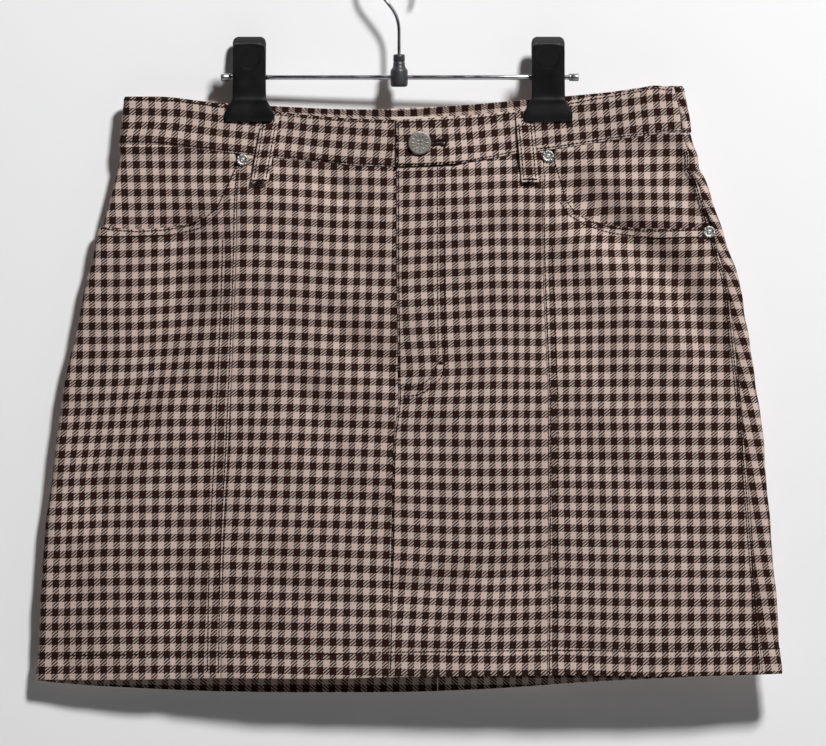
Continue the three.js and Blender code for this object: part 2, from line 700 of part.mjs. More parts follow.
// A belt loop: a strip laid over the band, sewn down at both ends and bowed out between.
function beltLoop(loop) {
  const lengthSteps = 11;
  const jawGap = 0.6;
  const clip = loop.topX < 0 ? CLIP_LEFT : CLIP_RIGHT;
  const girthAt = loop.side === 'front' ? frontGirth : backGirth;
  const direction = loop.side === 'front' ? 1 : -1;
  const underJaw = (z) => loop.side === 'front' && z > JAW_BOTTOM - jawGap;
  const lowerStart = JAW_BOTTOM - jawGap - 0.1;
  return clothWall(2, lengthSteps + 1, (i, j) => {
    const step = Math.max(j - 1, 0) / lengthSteps;
    let z = mix(Math.min(loop.top, lowerStart), loop.foot, step);
    if (loop.side === 'back') z = mix(loop.top, loop.foot, j / (lengthSteps + 1));
    if (loop.side === 'front' && j === 0) z = loop.top;
    if (loop.side === 'front' && j === 1) z = JAW_BOTTOM - jawGap + 0.1;
    const share = (loop.top - z) / (loop.top - loop.foot);
    const middle = mix(loop.topX, loop.footX, share);
    let start = middle - LOOP_WIDTH / 2;
    let end = middle + LOOP_WIDTH / 2;
    if (underJaw(z) && clip < 0) start = clip + JAW_HALF_WIDTH + jawGap;
    if (underJaw(z) && clip > 0) end = clip - JAW_HALF_WIDTH - jawGap;
    const x = direction > 0 ? mix(start, end, i / 2) : mix(end, start, i / 2);
    const seat = mix(BAND_PROUD, 0, ease(0.72, 0.9, share)) + SEAM_GAP + 0.05;
    const bow = LOOP_BOW * ease(0.05, 0.35, share) * (1 - ease(0.7, 0.97, share));
    return { girth: girthAt(x, z), z, raise: seat + bow + LOOP_CLOTH, thickness: LOOP_CLOTH };
  });
}

function addBeltLoops() {
  for (const loop of BELT_LOOPS) add(loop.name, beltLoop(loop), skirtColour);
}

// Seats a turned piece on the cloth with its axis along the cloth's outward direction.
function seatOnCloth(mesh, girth, z, raise) {
  mesh.position.copy(raisedPoint(girth, z, raise));
  mesh.quaternion.setFromUnitVectors(new THREE.Vector3(0, 1, 0), faceNormal(girth, z));
}

function turned(profile, segments) {
  const points = profile.map(([radius, height]) => new THREE.Vector2(radius, height));
  return closeBody(new THREE.LatheGeometry(points, segments));
}

function addButtonAndRivets() {
  const rim = BUTTON_RADIUS;
  const button = turned([
    [0, 0],
    [4.6, 0],
    [4.6, 0.7],
    [rim - 1, 0.7],
    [rim, 1.3],
    [rim, 2.2],
    [rim - 0.8, 2.9],
    [rim - 1.9, 2.5],
    [0, 2.5],
  ], 28);
  const buttonX = 14.4;
  const buttonZ = -144.8;
  const buttonSeat = BAND_PROUD + LAP_RAISE + SEAM_GAP;
  seatOnCloth(add('button', button, silverColour), frontGirth(buttonX, buttonZ), buttonZ, buttonSeat);

  for (const rivet of RIVETS) {
    const shape = turned([
      [0, 0],
      [RIVET_RADIUS, 0],
      [RIVET_RADIUS, 0.5],
      [RIVET_RADIUS - 0.9, 1.1],
      [1.7, 0.8],
      [1.3, 1.5],
      [0, 1.6],
    ], 18);
    const girth = rivet.fromLeftFold ?? frontGirth(rivet.x, rivet.z);
    seatOnCloth(add(rivet.name, shape, silverColour), girth, rivet.z, BAND_PROUD + SEAM_GAP);
  }
}

function alongX(geometry) {
  return geometry.rotateZ(-Math.PI / 2);
}

function cylinderAlongX(radius, length, segments) {
  return alongX(new THREE.CylinderGeometry(radius, radius, length, segments));
}

// The hook's wire: up from the hub, out along a slant, then round the bend to its plain end.
function hookWire() {
  const rise = HOOK_CENTRE_HEIGHT - HOOK_BEND_HEIGHT;
  const points = [new THREE.Vector3(0, 0, HOOK_FOOT)];
  for (const z of [-80, -70, -62, -57]) points.push(new THREE.Vector3(0, 0, z));
  const slantAngle = Math.asin(HOOK_RADIUS / rise);
  const slantLength = Math.sqrt(rise ** 2 - HOOK_RADIUS ** 2);
  for (const share of [0.14, 0.4, 0.7]) {
    const along = slantLength * share;
    const x = -Math.sin(slantAngle) * along;
    points.push(new THREE.Vector3(x, 0, HOOK_BEND_HEIGHT + Math.cos(slantAngle) * along));
  }
  const arcSteps = 22;
  const arcStart = Math.PI + slantAngle;
  const arcEnd = THREE.MathUtils.degToRad(HOOK_END_ANGLE);
  for (let i = 0; i <= arcSteps; i += 1) {
    const angle = mix(arcStart, arcEnd, i / arcSteps);
    const x = HOOK_RADIUS * Math.cos(angle);
    points.push(new THREE.Vector3(x, 0, HOOK_CENTRE_HEIGHT + HOOK_RADIUS * Math.sin(angle)));
  }
  const section = new THREE.Shape();
  section.absarc(0, 0, WIRE_RADIUS, 0, 2 * Math.PI);
  return closeBody(new THREE.ExtrudeGeometry(section, {
    steps: 36,
    curveSegments: 5,
    bevelEnabled: false,
    extrudePath: new THREE.CatmullRomCurve3(points),
  }));
}

function hub() {
  const body = toSolid(turned([
    [0, -103.5],
    [5.6, -103.5],
    [6.3, -101.8],
    [6.3, -92],
    [4.4, -89],
    [4.2, -80.6],
    [3.6, -80],
    [0, -80],
  ], 16).rotateX(Math.PI / 2));
  const rodBore = cylinderAlongX(ROD_RADIUS + RUNNING_GAP, 20, 16).translate(0, 0, ROD_HEIGHT);
  const wireBore = new THREE.CylinderGeometry(WIRE_RADIUS + RUNNING_GAP, WIRE_RADIUS + RUNNING_GAP, 20, 12);
  wireBore.rotateX(Math.PI / 2).translate(0, 0, HOOK_FOOT - RUNNING_GAP + 10);
  return fromSolid(body.subtract(toSolid(rodBore)).subtract(toSolid(wireBore)));
}

// A solid through a row of six-sided sections, for a clip arm with chamfered outer edges.
function armPlate(table, side) {
  const chamfer = 1.1;
  const positions = [];
  const index = [];
  for (const { z, half, inner, outer } of table) {
    const ring = [
      [-half, inner],
      [half, inner],
      [half, outer - chamfer],
      [half - chamfer, outer],
      [chamfer - half, outer],
      [-half, outer - chamfer],
    ];
    for (const [x, away] of ring) positions.push(x, side * away, z);
  }
  for (let row = 0; row < table.length - 1; row += 1) {
    for (let k = 0; k < 6; k += 1) {
      const a = row * 6 + k;
      const b = row * 6 + ((k + 1) % 6);
      index.push(a, b, b + 6, a, b + 6, a + 6);
    }
  }
  const last = (table.length - 1) * 6;
  for (let k = 1; k < 5; k += 1) {
    index.push(0, k + 1, k);
    index.push(last, last + k, last + k + 1);
  }
  const geometry = new THREE.BufferGeometry();
  geometry.setAttribute('position', new THREE.Float32BufferAttribute(positions, 3));
  geometry.setIndex(index);
  return geometry;
}

// The ear that carries an arm on the rod.
function armEar(side, x) {
  const earThickness = 2;
  const nose = 3;
  const outline = new THREE.Shape();
  outline.moveTo(-7, 12);
  outline.lineTo(1.5, 5);
  outline.lineTo(nose, 2.4);
  outline.lineTo(nose, -2.4);
  outline.lineTo(1, -6);
  outline.lineTo(-4.2, -9);
  outline.closePath();
  const hole = new THREE.Path();
  hole.absarc(0, 0, ROD_RADIUS + RUNNING_GAP, 0, 2 * Math.PI);
  outline.holes.push(hole);
  const geometry = new THREE.ExtrudeGeometry(outline, {
    depth: earThickness,
    curveSegments: 8,
    bevelEnabled: false,
  });
  // The outline's own axes become Y and Z, and its depth becomes X.
  geometry.applyMatrix4(new THREE.Matrix4().makeBasis(
    new THREE.Vector3(0, -side, 0),
    new THREE.Vector3(0, 0, 1),
    new THREE.Vector3(1, 0, 0),
  ));
  return geometry.translate(x - earThickness / 2, 0, ROD_HEIGHT);
}

function clipArm(table, side, earOffset) {
  const plate = toSolid(armPlate(table, side));
  const leftEar = toSolid(armEar(side, -earOffset));
  const rightEar = toSolid(armEar(side, earOffset));
  return fromSolid(plate.add(leftEar).add(rightEar));
}

function addHanger() {
  add('hook_wire', hookWire(), steelColour);
  add('hanger_hub', hub(), greyPlastic);
  const rod = closeBody(cylinderAlongX(ROD_RADIUS, ROD_RIGHT - ROD_LEFT, 12));
  add('rod', rod, steelColour).position.set((ROD_LEFT + ROD_RIGHT) / 2, 0, ROD_HEIGHT);

  const capProfile = [
    [0, 0],
    [CAP_RADIUS - 0.5, 0],
    [CAP_RADIUS, 0.6],
    [CAP_RADIUS, CAP_LENGTH],
    [ROD_RADIUS + RUNNING_GAP, CAP_LENGTH],
    [ROD_RADIUS + RUNNING_GAP, CAP_LENGTH - CAP_BORE_DEPTH - RUNNING_GAP],
    [0, CAP_LENGTH - CAP_BORE_DEPTH - RUNNING_GAP],
  ];
  const capReach = CAP_LENGTH - CAP_BORE_DEPTH;
  const leftCap = add('rod_cap_left', turned(capProfile, 12), steelColour);
  leftCap.rotation.z = -Math.PI / 2;
  leftCap.position.set(ROD_LEFT - capReach, 0, ROD_HEIGHT);
  const rightCap = add('rod_cap_right', turned(capProfile, 12), steelColour);
  rightCap.rotation.z = Math.PI / 2;
  rightCap.position.set(ROD_RIGHT + capReach, 0, ROD_HEIGHT);

  const springHalf = 3.4;
  for (const [name, x] of [['clip_left', CLIP_LEFT], ['clip_right', CLIP_RIGHT]]) {
    add(`${name}_front_arm`, clipArm(FRONT_ARM, -1, 9.4), blackPlastic).position.x = x;
    add(`${name}_back_arm`, clipArm(BACK_ARM, 1, 6.6), blackPlastic).position.x = x;
    const spring = turned([
      [ROD_RADIUS + RUNNING_GAP, -springHalf],
      [3.1, -springHalf],
      [3.1, springHalf],
      [ROD_RADIUS + RUNNING_GAP, springHalf],
      [ROD_RADIUS + RUNNING_GAP, -springHalf],
    ], 14);
    const springMesh = add(`${name}_spring`, spring, steelColour);
    springMesh.rotation.z = Math.PI / 2;
    springMesh.position.set(x, 0, ROD_HEIGHT);
  }
}

addPanels();
addFly();
addWaistband();
addBeltLoops();
addButtonAndRivets();
addHanger();

export default skirt;
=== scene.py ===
import math

import bmesh
import bpy
import numpy as np
from mathutils import Matrix, Vector


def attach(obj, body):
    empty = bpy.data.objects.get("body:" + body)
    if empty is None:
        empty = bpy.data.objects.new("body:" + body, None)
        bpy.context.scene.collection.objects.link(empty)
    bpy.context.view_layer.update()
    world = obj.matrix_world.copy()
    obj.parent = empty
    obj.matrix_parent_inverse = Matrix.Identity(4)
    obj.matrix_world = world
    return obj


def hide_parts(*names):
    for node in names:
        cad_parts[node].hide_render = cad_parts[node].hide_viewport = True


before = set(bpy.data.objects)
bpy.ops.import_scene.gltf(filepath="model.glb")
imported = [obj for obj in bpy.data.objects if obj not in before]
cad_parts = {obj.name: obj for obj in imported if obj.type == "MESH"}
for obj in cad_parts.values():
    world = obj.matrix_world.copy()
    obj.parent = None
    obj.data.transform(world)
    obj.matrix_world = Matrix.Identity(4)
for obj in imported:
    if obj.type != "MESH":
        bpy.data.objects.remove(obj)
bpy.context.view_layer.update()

# Back panels: the two halves of the back, cut from checked twill and joined by a centre back
# seam. Each wraps a little round its side fold to the side seam, and ends in a turned-up hem.
# Every cloth piece lies on the same hung form, so the form is worked out here, in millimetres.
CLOTH = 1.4
HEM_ROW = 18.3
HEM_NEAR = -532
STEP_SIZE = 2.3
PANEL_TALL = 380
SEAM_GAP = 0.3
FOLD_RADIUS = 4.8
FOLD_ARC = FOLD_RADIUS * math.pi / 2
FOLD_BLEND = 45
SIDE_ROUNDING = 2.4
CLIP_LEFT = -108.6
CLIP_RIGHT = 108.1
CLAMP_DEPTH = 2
CLAMP_HALF_WIDTH = 21
OPENS_FROM = -131
OPEN_AT = -195
CLAMP_SPREAD = 75
BAND_HEIGHT = 34

# height, left edge, right edge of the flattened skirt
OUTLINE = [
    (-100, -197.8, 205),
    (-114.6, -199.2, 208),
    (-127, -200.8, 210.6),
    (-136.5, -201.4, 211.6),
    (-146.5, -203, 214),
    (-154, -204.4, 216.7),
    (-162.5, -206.2, 216.9),
    (-167.5, -207.4, 220),
    (-175, -209.6, 223.5),
    (-185.7, -212.2, 226.9),
    (-203, -216.6, 233.5),
    (-226.5, -222.2, 240.2),
    (-241.5, -226.4, 245.7),
    (-269, -231.8, 250.8),
    (-307.5, -240.4, 257.1),
    (-335.7, -245.6, 261.1),
    (-374, -250, 265.1),
    (-421, -255.8, 269.1),
    (-476.5, -260.4, 273.5),
    (-535, -263, 277.8),
]
# height, how far the middle of the front and of the back stand out
BELLY = [
    (-100, 12.5, 5),
    (-150, 14, 8),
    (-206, 15, 12),
    (-300, 16, 14),
    (-420, 16, 14.5),
    (-550, 17, 15),
]
# place across, top edge, seam under the band
FRONT_WAIST = [
    (-215, -110.8, -144.9),
    (-175, -110.8, -145.4),
    (-144, -113.9, -149),
    (-122, -117, -151.4),
    (-90, -121.6, -155),
    (-60, -124.6, -157.6),
    (-28, -127.1, -161),
    (0, -127.7, -161.7),
    (38, -125.2, -160.2),
    (60, -123.7, -157),
    (85, -120.4, -152),
    (113, -115.8, -148.7),
    (141, -110.6, -144.3),
    (167, -106.3, -140.5),
    (186, -102.8, -138),
    (196, -104, -137),
    (220, -103, -137),
]
BACK_WAIST = [
    (-215, -110.8),
    (-150, -113.6),
    (-92, -117.4),
    (-28, -119.8),
    (38, -117.2),
    (95, -112.6),
    (150, -107.6),
    (190, -102.8),
    (220, -103),
]
# place across, front edge, back edge
HEM = [
    (-270, -533.3, -533.3),
    (-235, -533.6, -537),
    (-178, -533, -540.4),
    (-129, -532.1, -542.3),
    (-57, -532.6, -543.2),
    (-8, -531.4, -543),
    (60, -530.5, -540.8),
    (131, -530, -536),
    (185, -530.8, -533),
    (226, -530.5, -531),
    (285, -528.8, -528.8),
]
# height, left panel seam, centre front, right panel seam, centre back, side seam from the edge
SEAMS = [
    (-100, -115, -2.2, 105, 20, 6.6),
    (-150, -115.2, -2, 104.8, 21, 6),
    (-186, -117.5, -1.9, 103.6, 21.5, 7),
    (-234, -118.5, -1.8, 104.2, 22, 8.6),
    (-306, -121.1, -0.7, 107, 23, 12),
    (-330, -122.2, -0.6, 108, 23.4, 13),
    (-360, -123.5, -4, 108.2, 24, 14),
    (-447, -127.8, -5.9, 107.9, 26, 14),
    (-550, -129.3, -8.2, 107.1, 28, 14.5),
]
LEFT_SEAM, CENTRE_SEAM, RIGHT_SEAM, BACK_SEAM, SIDE_INSET = 1, 2, 3, 4, 5
# on the front, path across and up, half width, depth: troughs go in, and minus depths are ridges
FOLDS = [
    (True, [(129, -184), (154, -206), (182, -226), (204, -247), (218, -271), (233, -296)], 15, 8),
    (True, [(-156, -216), (-158, -262), (-166, -280), (-177, -300), (-196, -335), (-214, -370),
            (-232, -398)], 22, 5.6),
    (True, [(142, -160), (172, -173), (206, -192)], 11, -1.6),
    (True, [(-160, -454), (-160, -526)], 11, 3),
    (True, [(0, -470), (48, -462), (95, -458)], 12, 2.4),
    (True, [(-50, -170), (-33, -188), (-27, -240)], 9, 2.5),
    (True, [(259, -450), (261, -505)], 9, 1.2),
    (True, [(-50, -273), (-36, -291), (-12, -312)], 10, 2.2),
    (True, [(-72, -322), (-50, -348), (-46, -400)], 11, 2.2),
    (True, [(30, -360), (28, -405)], 11, 1.3),
    (True, [(12, -262), (14, -300)], 11, -1.2),
    (True, [(-248, -512), (-242, -524)], 5, 1.1),
    (True, [(-246, -334), (-232, -341)], 4, 1.4),
    (True, [(140, -372), (196, -400)], 12, 2.1),
    (True, [(60, -520), (64, -500)], 9, 0.6),
    (True, [(111.5, -165), (113, -280)], 3, 1),
    (True, [(132, -300), (190, -345)], 13, 1.5),
    (True, [(122, -214), (152, -238), (182, -268), (206, -302)], 14, -1.8),
    (True, [(122, -250), (140, -285)], 14, 1.6),
    (True, [(24, -335), (40, -328)], 9, -1),
    (True, [(-200, -352), (-150, -330)], 10, 2.1),
    (True, [(-216, -405), (-168, -382)], 11, 2.2),
    (True, [(-150, -480), (-100, -462), (-40, -478)], 10, 1.3),
    (True, [(-110, -210), (-80, -205)], 8, -0.9),
    (False, [(-150, -182), (-172, -206), (-196, -236), (-212, -270)], 20, 3.4),
    (False, [(130, -190), (164, -216), (196, -250), (214, -290)], 20, 3.6),
    (False, [(-70, -300), (-96, -420)], 20, 1.8),
    (False, [(110, -400), (122, -520)], 18, 2),
    (False, [(-20, -170), (-34, -240)], 12, 1.2),
    (False, [(62, -300), (50, -360)], 14, 1),
    (False, [(-170, -440), (-164, -520)], 12, 1.8),
]


def mix(start, end, share):
    return start + (end - start) * share


def ease(start, end, value):
    share = np.clip((value - start) / (end - start), 0, 1)
    return share * share * (3 - 2 * share)


def bell(value, middle, width):
    return np.exp(-(((value - middle) / width) ** 2))


def read(table, column, value):
    """One column of a table at a value between its rows, on a curve that doesn't overshoot."""
    rows = np.array(sorted(table), float)
    key = rows[:, 0]
    known = rows[:, column]
    slope = np.diff(known) / np.diff(key)
    before = slope[:-1]
    after = slope[1:]
    total = before + after
    safe = np.where(total == 0, 1, total)
    inner = np.where(before * after <= 0, 0, 2 * before * after / safe)
    tangent = np.concatenate(([slope[0]], inner, [slope[-1]]))
    held = np.clip(value, key[0], key[-1])
    i = np.clip(np.searchsorted(key, held) - 1, 0, len(key) - 2)
    span = key[i + 1] - key[i]
    t = (held - key[i]) / span
    start_share = 2 * t**3 - 3 * t**2 + 1
    pull = (t**3 - 2 * t**2 + t) * span * tangent[i] + (t**3 - t**2) * span * tangent[i + 1]
    return start_share * known[i] + (1 - start_share) * known[i + 1] + pull


def left_edge(z):
    return read(OUTLINE, 1, z)


def right_edge(z):
    return read(OUTLINE, 2, z)


def half_girth(z):
    """The length of the front's cloth between the folds. Lengths start at the left fold."""
    return right_edge(z) - left_edge(z) - 2 * FOLD_RADIUS + 2 * FOLD_ARC


def front_girth(x, z):
    return x - left_edge(z) - FOLD_RADIUS + FOLD_ARC


def back_girth(x, z):
    return 2 * half_girth(z) - front_girth(x, z)


def side_seam(z):
    return half_girth(z) - read(SEAMS, SIDE_INSET, z) + FOLD_RADIUS - FOLD_ARC


def left_side_seam(z):
    return side_seam(z) - half_girth(z)


def far_side_seam(z):
    return 2 * half_girth(z) + left_side_seam(z)


def back_seam(z):
    return back_girth(read(SEAMS, BACK_SEAM, z), z)


def fold_depth(x, z, on_back):
    depth = np.zeros(np.broadcast(x, z).shape)
    for on_front, path, width, deep in FOLDS:
        nearest = np.full(depth.shape, 1e9)
        for (x0, z0), (x1, z1) in zip(path, path[1:]):
            along = ((x - x0) * (x1 - x0) + (z - z0) * (z1 - z0)) / ((x1 - x0) ** 2 + (z1 - z0) ** 2)
            along = np.clip(along, 0, 1)
            away = np.hypot(x - x0 - along * (x1 - x0), z - z0 - along * (z1 - z0))
            nearest = np.minimum(nearest, away)
        depth += np.where(on_back, not on_front, on_front) * deep * bell(nearest, 0, width)
    return depth


def stand_off(x, z, on_back):
    """How far the flat part of the front or back stands from the plane between them."""
    belly = np.where(on_back, read(BELLY, 2, z), read(BELLY, 1, z))
    middle = (left_edge(z) + right_edge(z)) / 2
    share = np.abs(x - middle) / ((right_edge(z) - left_edge(z)) / 2)
    free = FOLD_RADIUS + (belly - FOLD_RADIUS) * (1 - np.minimum(share, 1) ** SIDE_ROUNDING)
    reach = (CLIP_RIGHT - CLIP_LEFT) / 2
    from_middle = np.abs(x - (CLIP_LEFT + CLIP_RIGHT) / 2)
    swag = np.cos(np.minimum(from_middle / (reach - CLAMP_HALF_WIDTH), 1) * math.pi / 2) ** 2
    outward = ease(reach + CLAMP_HALF_WIDTH, reach + CLAMP_SPREAD, from_middle)
    clamped = CLAMP_DEPTH + (belly - CLAMP_DEPTH) * swag + (FOLD_RADIUS - CLAMP_DEPTH) * outward
    return mix(clamped, free, ease(OPENS_FROM, OPEN_AT, z))


def face_point(girth, z):
    """The outer face of the cloth at a length from the left fold and a height."""
    girth, z = np.broadcast_arrays(girth, z)
    half = half_girth(z)
    wrapped = np.abs(girth)
    on_back = (girth < 0) | (girth > half)
    place = np.where(wrapped > half, 2 * half - wrapped, wrapped)
    near_left = place < half / 2
    from_fold = np.where(near_left, place, half - place)
    angle = np.minimum(from_fold, FOLD_ARC) / FOLD_RADIUS
    inset = FOLD_RADIUS * (1 - np.cos(angle)) + np.maximum(from_fold - FOLD_ARC, 0)
    x = np.where(near_left, left_edge(z) + inset, right_edge(z) - inset)
    flat = stand_off(x, z, on_back) - FOLD_RADIUS - fold_depth(x, z, on_back)
    depth = FOLD_RADIUS * np.sin(angle) + flat * ease(0, FOLD_BLEND, inset)
    return np.stack([x, np.where(on_back, depth, -depth), z], axis=-1)


def face_normal(girth, z):
    step = 0.25
    across = face_point(girth + step, z) - face_point(girth - step, z)
    up = face_point(girth, z + step) - face_point(girth, z - step)
    normal = np.cross(across, up)
    return normal / np.linalg.norm(normal, axis=-1, keepdims=True)


def raised_point(girth, z, raise_by):
    return face_point(girth, z) + face_normal(girth, z) * np.asarray(raise_by)[..., None]


def is_back(girth, z):
    return (girth < 0) | (girth > half_girth(z))


def waist_top(girth, z):
    x = face_point(girth, z)[..., 0]
    return np.where(is_back(girth, z), read(BACK_WAIST, 1, x), read(FRONT_WAIST, 1, x))


def waist_seam(girth, z):
    x = face_point(girth, z)[..., 0]
    from_fold = np.minimum(np.abs(girth), np.abs(girth - half_girth(z)))
    front = read(FRONT_WAIST, 2, x)
    back = mix(front, read(BACK_WAIST, 1, x) - BAND_HEIGHT, ease(0, 60, from_fold))
    return np.where(is_back(girth, z), back, front)


def below_band(girth, z):
    return waist_seam(girth, z) - SEAM_GAP


def hem_edge(girth, z):
    x = face_point(girth, z)[..., 0]
    return np.where(is_back(girth, z), read(HEM, 2, x), read(HEM, 1, x))


def seam_line(column, shift):
    return lambda z: front_girth(read(SEAMS, column, z), z) + shift


# The size of one check of the gingham. The check tables below give a count and the line, across
# and up in millimetres, down the middle of that dark stripe or along that dark row.
CHECK_WIDE = 9.34
CHECK_TALL = 10.5
LEVEL_STEP = 4.0
LENGTH_STEP = 1.5


def count_across(girth, z, girth_at, columns):
    """Counts checks across from lines down the middles of dark stripes, along the cloth itself."""
    levels = np.arange(z.min() - 6, z.max() + 6, LEVEL_STEP)
    lengths = np.arange(girth.min() - 40, girth.max() + 40, LENGTH_STEP)
    points = face_point(lengths[None, :], levels[:, None])
    steps = np.linalg.norm(np.diff(points, axis=1), axis=-1)
    run = np.concatenate((np.zeros((len(levels), 1)), np.cumsum(steps, axis=1)), axis=1)

    def run_at(length, height):
        row = np.clip((height - levels[0]) / LEVEL_STEP, 0, len(levels) - 1.001)
        column = np.clip((length - lengths[0]) / LENGTH_STEP, 0, len(lengths) - 1.001)
        j = row.astype(int)
        i = column.astype(int)
        upper = mix(run[j, i], run[j, i + 1], column - i)
        lower = mix(run[j + 1, i], run[j + 1, i + 1], column - i)
        return mix(upper, lower, row - j)

    place = run_at(girth, z)
    marks = []
    for index, line in columns:
        heights = [point[1] for point in line]
        order = np.argsort(heights)
        x = np.interp(z, np.array(heights)[order], np.array([point[0] for point in line])[order])
        marks.append((index, run_at(girth_at(x, z), z)))
    return between(marks, place, 1 / CHECK_WIDE)


def between(marks, place, rate):
    """Reads a count at a place between marks, and goes on at the given rate beyond them."""
    marks = sorted(marks, key=lambda mark: float(np.mean(mark[1])))
    falling = marks[0][0] > marks[-1][0]
    count = marks[0][0] + (place - marks[0][1]) * (-rate if falling else rate)
    for (low, low_place), (high, high_place) in zip(marks, marks[1:]):
        inside = low + (place - low_place) / (high_place - low_place) * (high - low)
        count = np.where(place > low_place, inside, count)
    beyond = marks[-1][0] + (place - marks[-1][1]) * (-rate if falling else rate)
    return np.where(place > marks[-1][1], beyond, count)


def count_up(x, z, rows):
    """Counts checks upwards from lines along the middles of dark rows."""
    marks = []
    for index, line in rows:
        marks.append((index, np.interp(x, [point[0] for point in line], [point[1] for point in line])))
    return between(marks, z, 1 / CHECK_TALL)


def meet(line, edge, guess, shape):
    """The height at which a line down the cloth meets an edge."""
    z = np.full(shape, float(guess))
    for _ in range(24):
        z = mix(z, edge(line(z), z), 0.7)
    return z


def strip(start, end, share, down, top, top_guess, low, low_guess):
    """Lengths and heights of a grid between two lines down the cloth and two edges across it."""
    def line(z):
        return mix(start(z), end(z), share)

    z = mix(meet(line, top, top_guess, share.shape), meet(line, low, low_guess, share.shape), down)
    return line(z), z


def spread(start, end, step, edge_steps=(0.5, 1.2)):
    """Places from start to end, a step apart, with closer ones at both ends."""
    count = max(int(round((end - start) / step)), 2)
    places = list(np.linspace(start, end, count + 1))
    for extra in edge_steps:
        places += [start + extra, end - extra]
    return np.array(sorted(places))


def linked_object(name, shape):
    """Turns a finished bmesh into an object in the scene."""
    mesh = bpy.data.meshes.new(name)
    shape.to_mesh(mesh)
    shape.free()
    made = bpy.data.objects.new(name, mesh)
    bpy.context.scene.collection.objects.link(made)
    return made


def cloth_mesh(name, girth, z, raise_by, across, up, thickness):
    """Moves a grid onto the cloth and gives it its thickness inwards and its maps of checks and yarns."""
    rows, columns = z.shape
    length_round = np.broadcast_to(girth, z.shape) * 0.1
    points = raised_point(girth, z, raise_by) * 0.001
    shape = bmesh.new()
    bmesh.ops.create_grid(shape, x_segments=columns - 1, y_segments=rows - 1, size=1)
    places = {}
    for vert in shape.verts:
        i = int(round((vert.co.x + 1) / 2 * (columns - 1)))
        j = int(round((1 - vert.co.y) / 2 * (rows - 1)))
        places[vert] = (j, i)
    for vert, (j, i) in places.items():
        vert.co = points[j, i]
    checks = shape.loops.layers.uv.new("checks")
    yarns = shape.loops.layers.uv.new("yarns")
    for face in shape.faces:
        face.smooth = True
        for loop in face.loops:
            place = places[loop.vert]
            loop[checks].uv = (across[place], up[place])
            loop[yarns].uv = (length_round[place], z[place] * 0.1)
    piece = linked_object(name, shape)
    wall = piece.modifiers.new("cloth wall", "SOLIDIFY")
    wall.thickness = thickness * 0.001
    wall.offset = -1
    wall.use_even_offset = True
    return piece


def flat_size(girth, z):
    """Widest and tallest of a piece laid flat and its area, in metres."""
    points = face_point(girth, z) * 0.001
    wide = np.linalg.norm(np.diff(points, axis=1), axis=-1).sum(axis=1).max()
    tall = np.linalg.norm(np.diff(points, axis=0), axis=-1).sum(axis=0).max()
    a = points[:-1, 1:] - points[1:, :-1]
    b = points[1:, 1:] - points[:-1, :-1]
    return wide, tall, float(np.linalg.norm(np.cross(a, b), axis=-1).sum() / 2)


def edge_sink(girth, z, deep=0.3, wide=0.9, bottom=True):
    """How far the cloth turns in beside its seams."""
    def along(axis):
        points = face_point(girth, z)
        steps = np.linalg.norm(np.diff(points, axis=axis), axis=-1)
        pad = [(0, 0), (0, 0)]
        pad[axis] = (1, 0)
        return np.pad(np.cumsum(steps, axis=axis), pad)
    across = along(1)
    down = along(0)
    sides = bell(across, 0, wide) + bell(across, across[:, -1:], wide)
    ends = bell(down, 0, wide)
    if bottom:
        ends = ends + 0.9 * bell(down, down[-1:], wide)
    return deep * np.minimum(sides + ends, 1)


def hem_roll(girth, z):
    """The slight ripple and swelling of the turned-up hem round its row of stitches."""
    above = z - hem_edge(girth, z)
    rope = 0.22 * np.sin(girth * 0.46 + above * 0.5) * bell(above, 12, 9)
    groove = -0.5 * bell(above, HEM_ROW - 0.1, 1.5)
    body = 0.45 * ease(22, 17, above)
    return rope + groove + body


def slub(girth, z):
    """The faint unevenness of washed cloth."""
    first = np.sin(girth * 0.061 + z * 0.043 + 1.3) * np.sin(z * 0.071 - girth * 0.027)
    second = np.sin(girth * 0.113 - z * 0.087 + 0.4) * np.sin(z * 0.139 + girth * 0.052)
    third = np.sin(girth * 0.083 + z * 0.181 + 2.1) * np.sin(girth * 0.037 - z * 0.059 + 0.7)
    return 0.5 * first + 0.3 * second + 0.22 * third


def shader_node(tree, kind, settings=None, **links):
    """Adds a shader node. Settings are its own values, and links its inputs by name or number."""
    node = tree.nodes.new(kind)
    for key, value in (settings or {}).items():
        setattr(node, key, value)
    for key, value in links.items():
        socket = node.inputs[int(key[1:])] if key[0] == "i" and key[1:].isdigit() else node.inputs[key]
        if isinstance(value, bpy.types.NodeSocket):
            tree.links.new(value, socket)
        else:
            socket.default_value = value
    return node


def math_node(tree, operation, first, second=0.0):
    return shader_node(tree, "ShaderNodeMath", {"operation": operation}, i0=first, i1=second).outputs[0]


def ramp_between(tree, value, low, high, to_low=0.0, to_high=1.0):
    node = shader_node(tree, "ShaderNodeMapRange", None, Value=value)
    node.inputs["From Min"].default_value = low
    node.inputs["From Max"].default_value = high
    node.inputs["To Min"].default_value = to_low
    node.inputs["To Max"].default_value = to_high
    return node.outputs["Result"]


def mix_colour(tree, share, first, second):
    node = shader_node(tree, "ShaderNodeMix", {"data_type": "RGBA"})
    for socket, value in ((node.inputs[0], share), (node.inputs[6], first), (node.inputs[7], second)):
        if isinstance(value, bpy.types.NodeSocket):
            tree.links.new(value, socket)
        else:
            socket.default_value = value
    return node.outputs[2]


def new_material(name, roughness, metallic=0.0):
    material = bpy.data.materials.new(name)
    material.use_nodes = True
    shader = material.node_tree.nodes["Principled BSDF"]
    shader.inputs["Roughness"].default_value = roughness
    shader.inputs["Metallic"].default_value = metallic
    return material, material.node_tree, shader


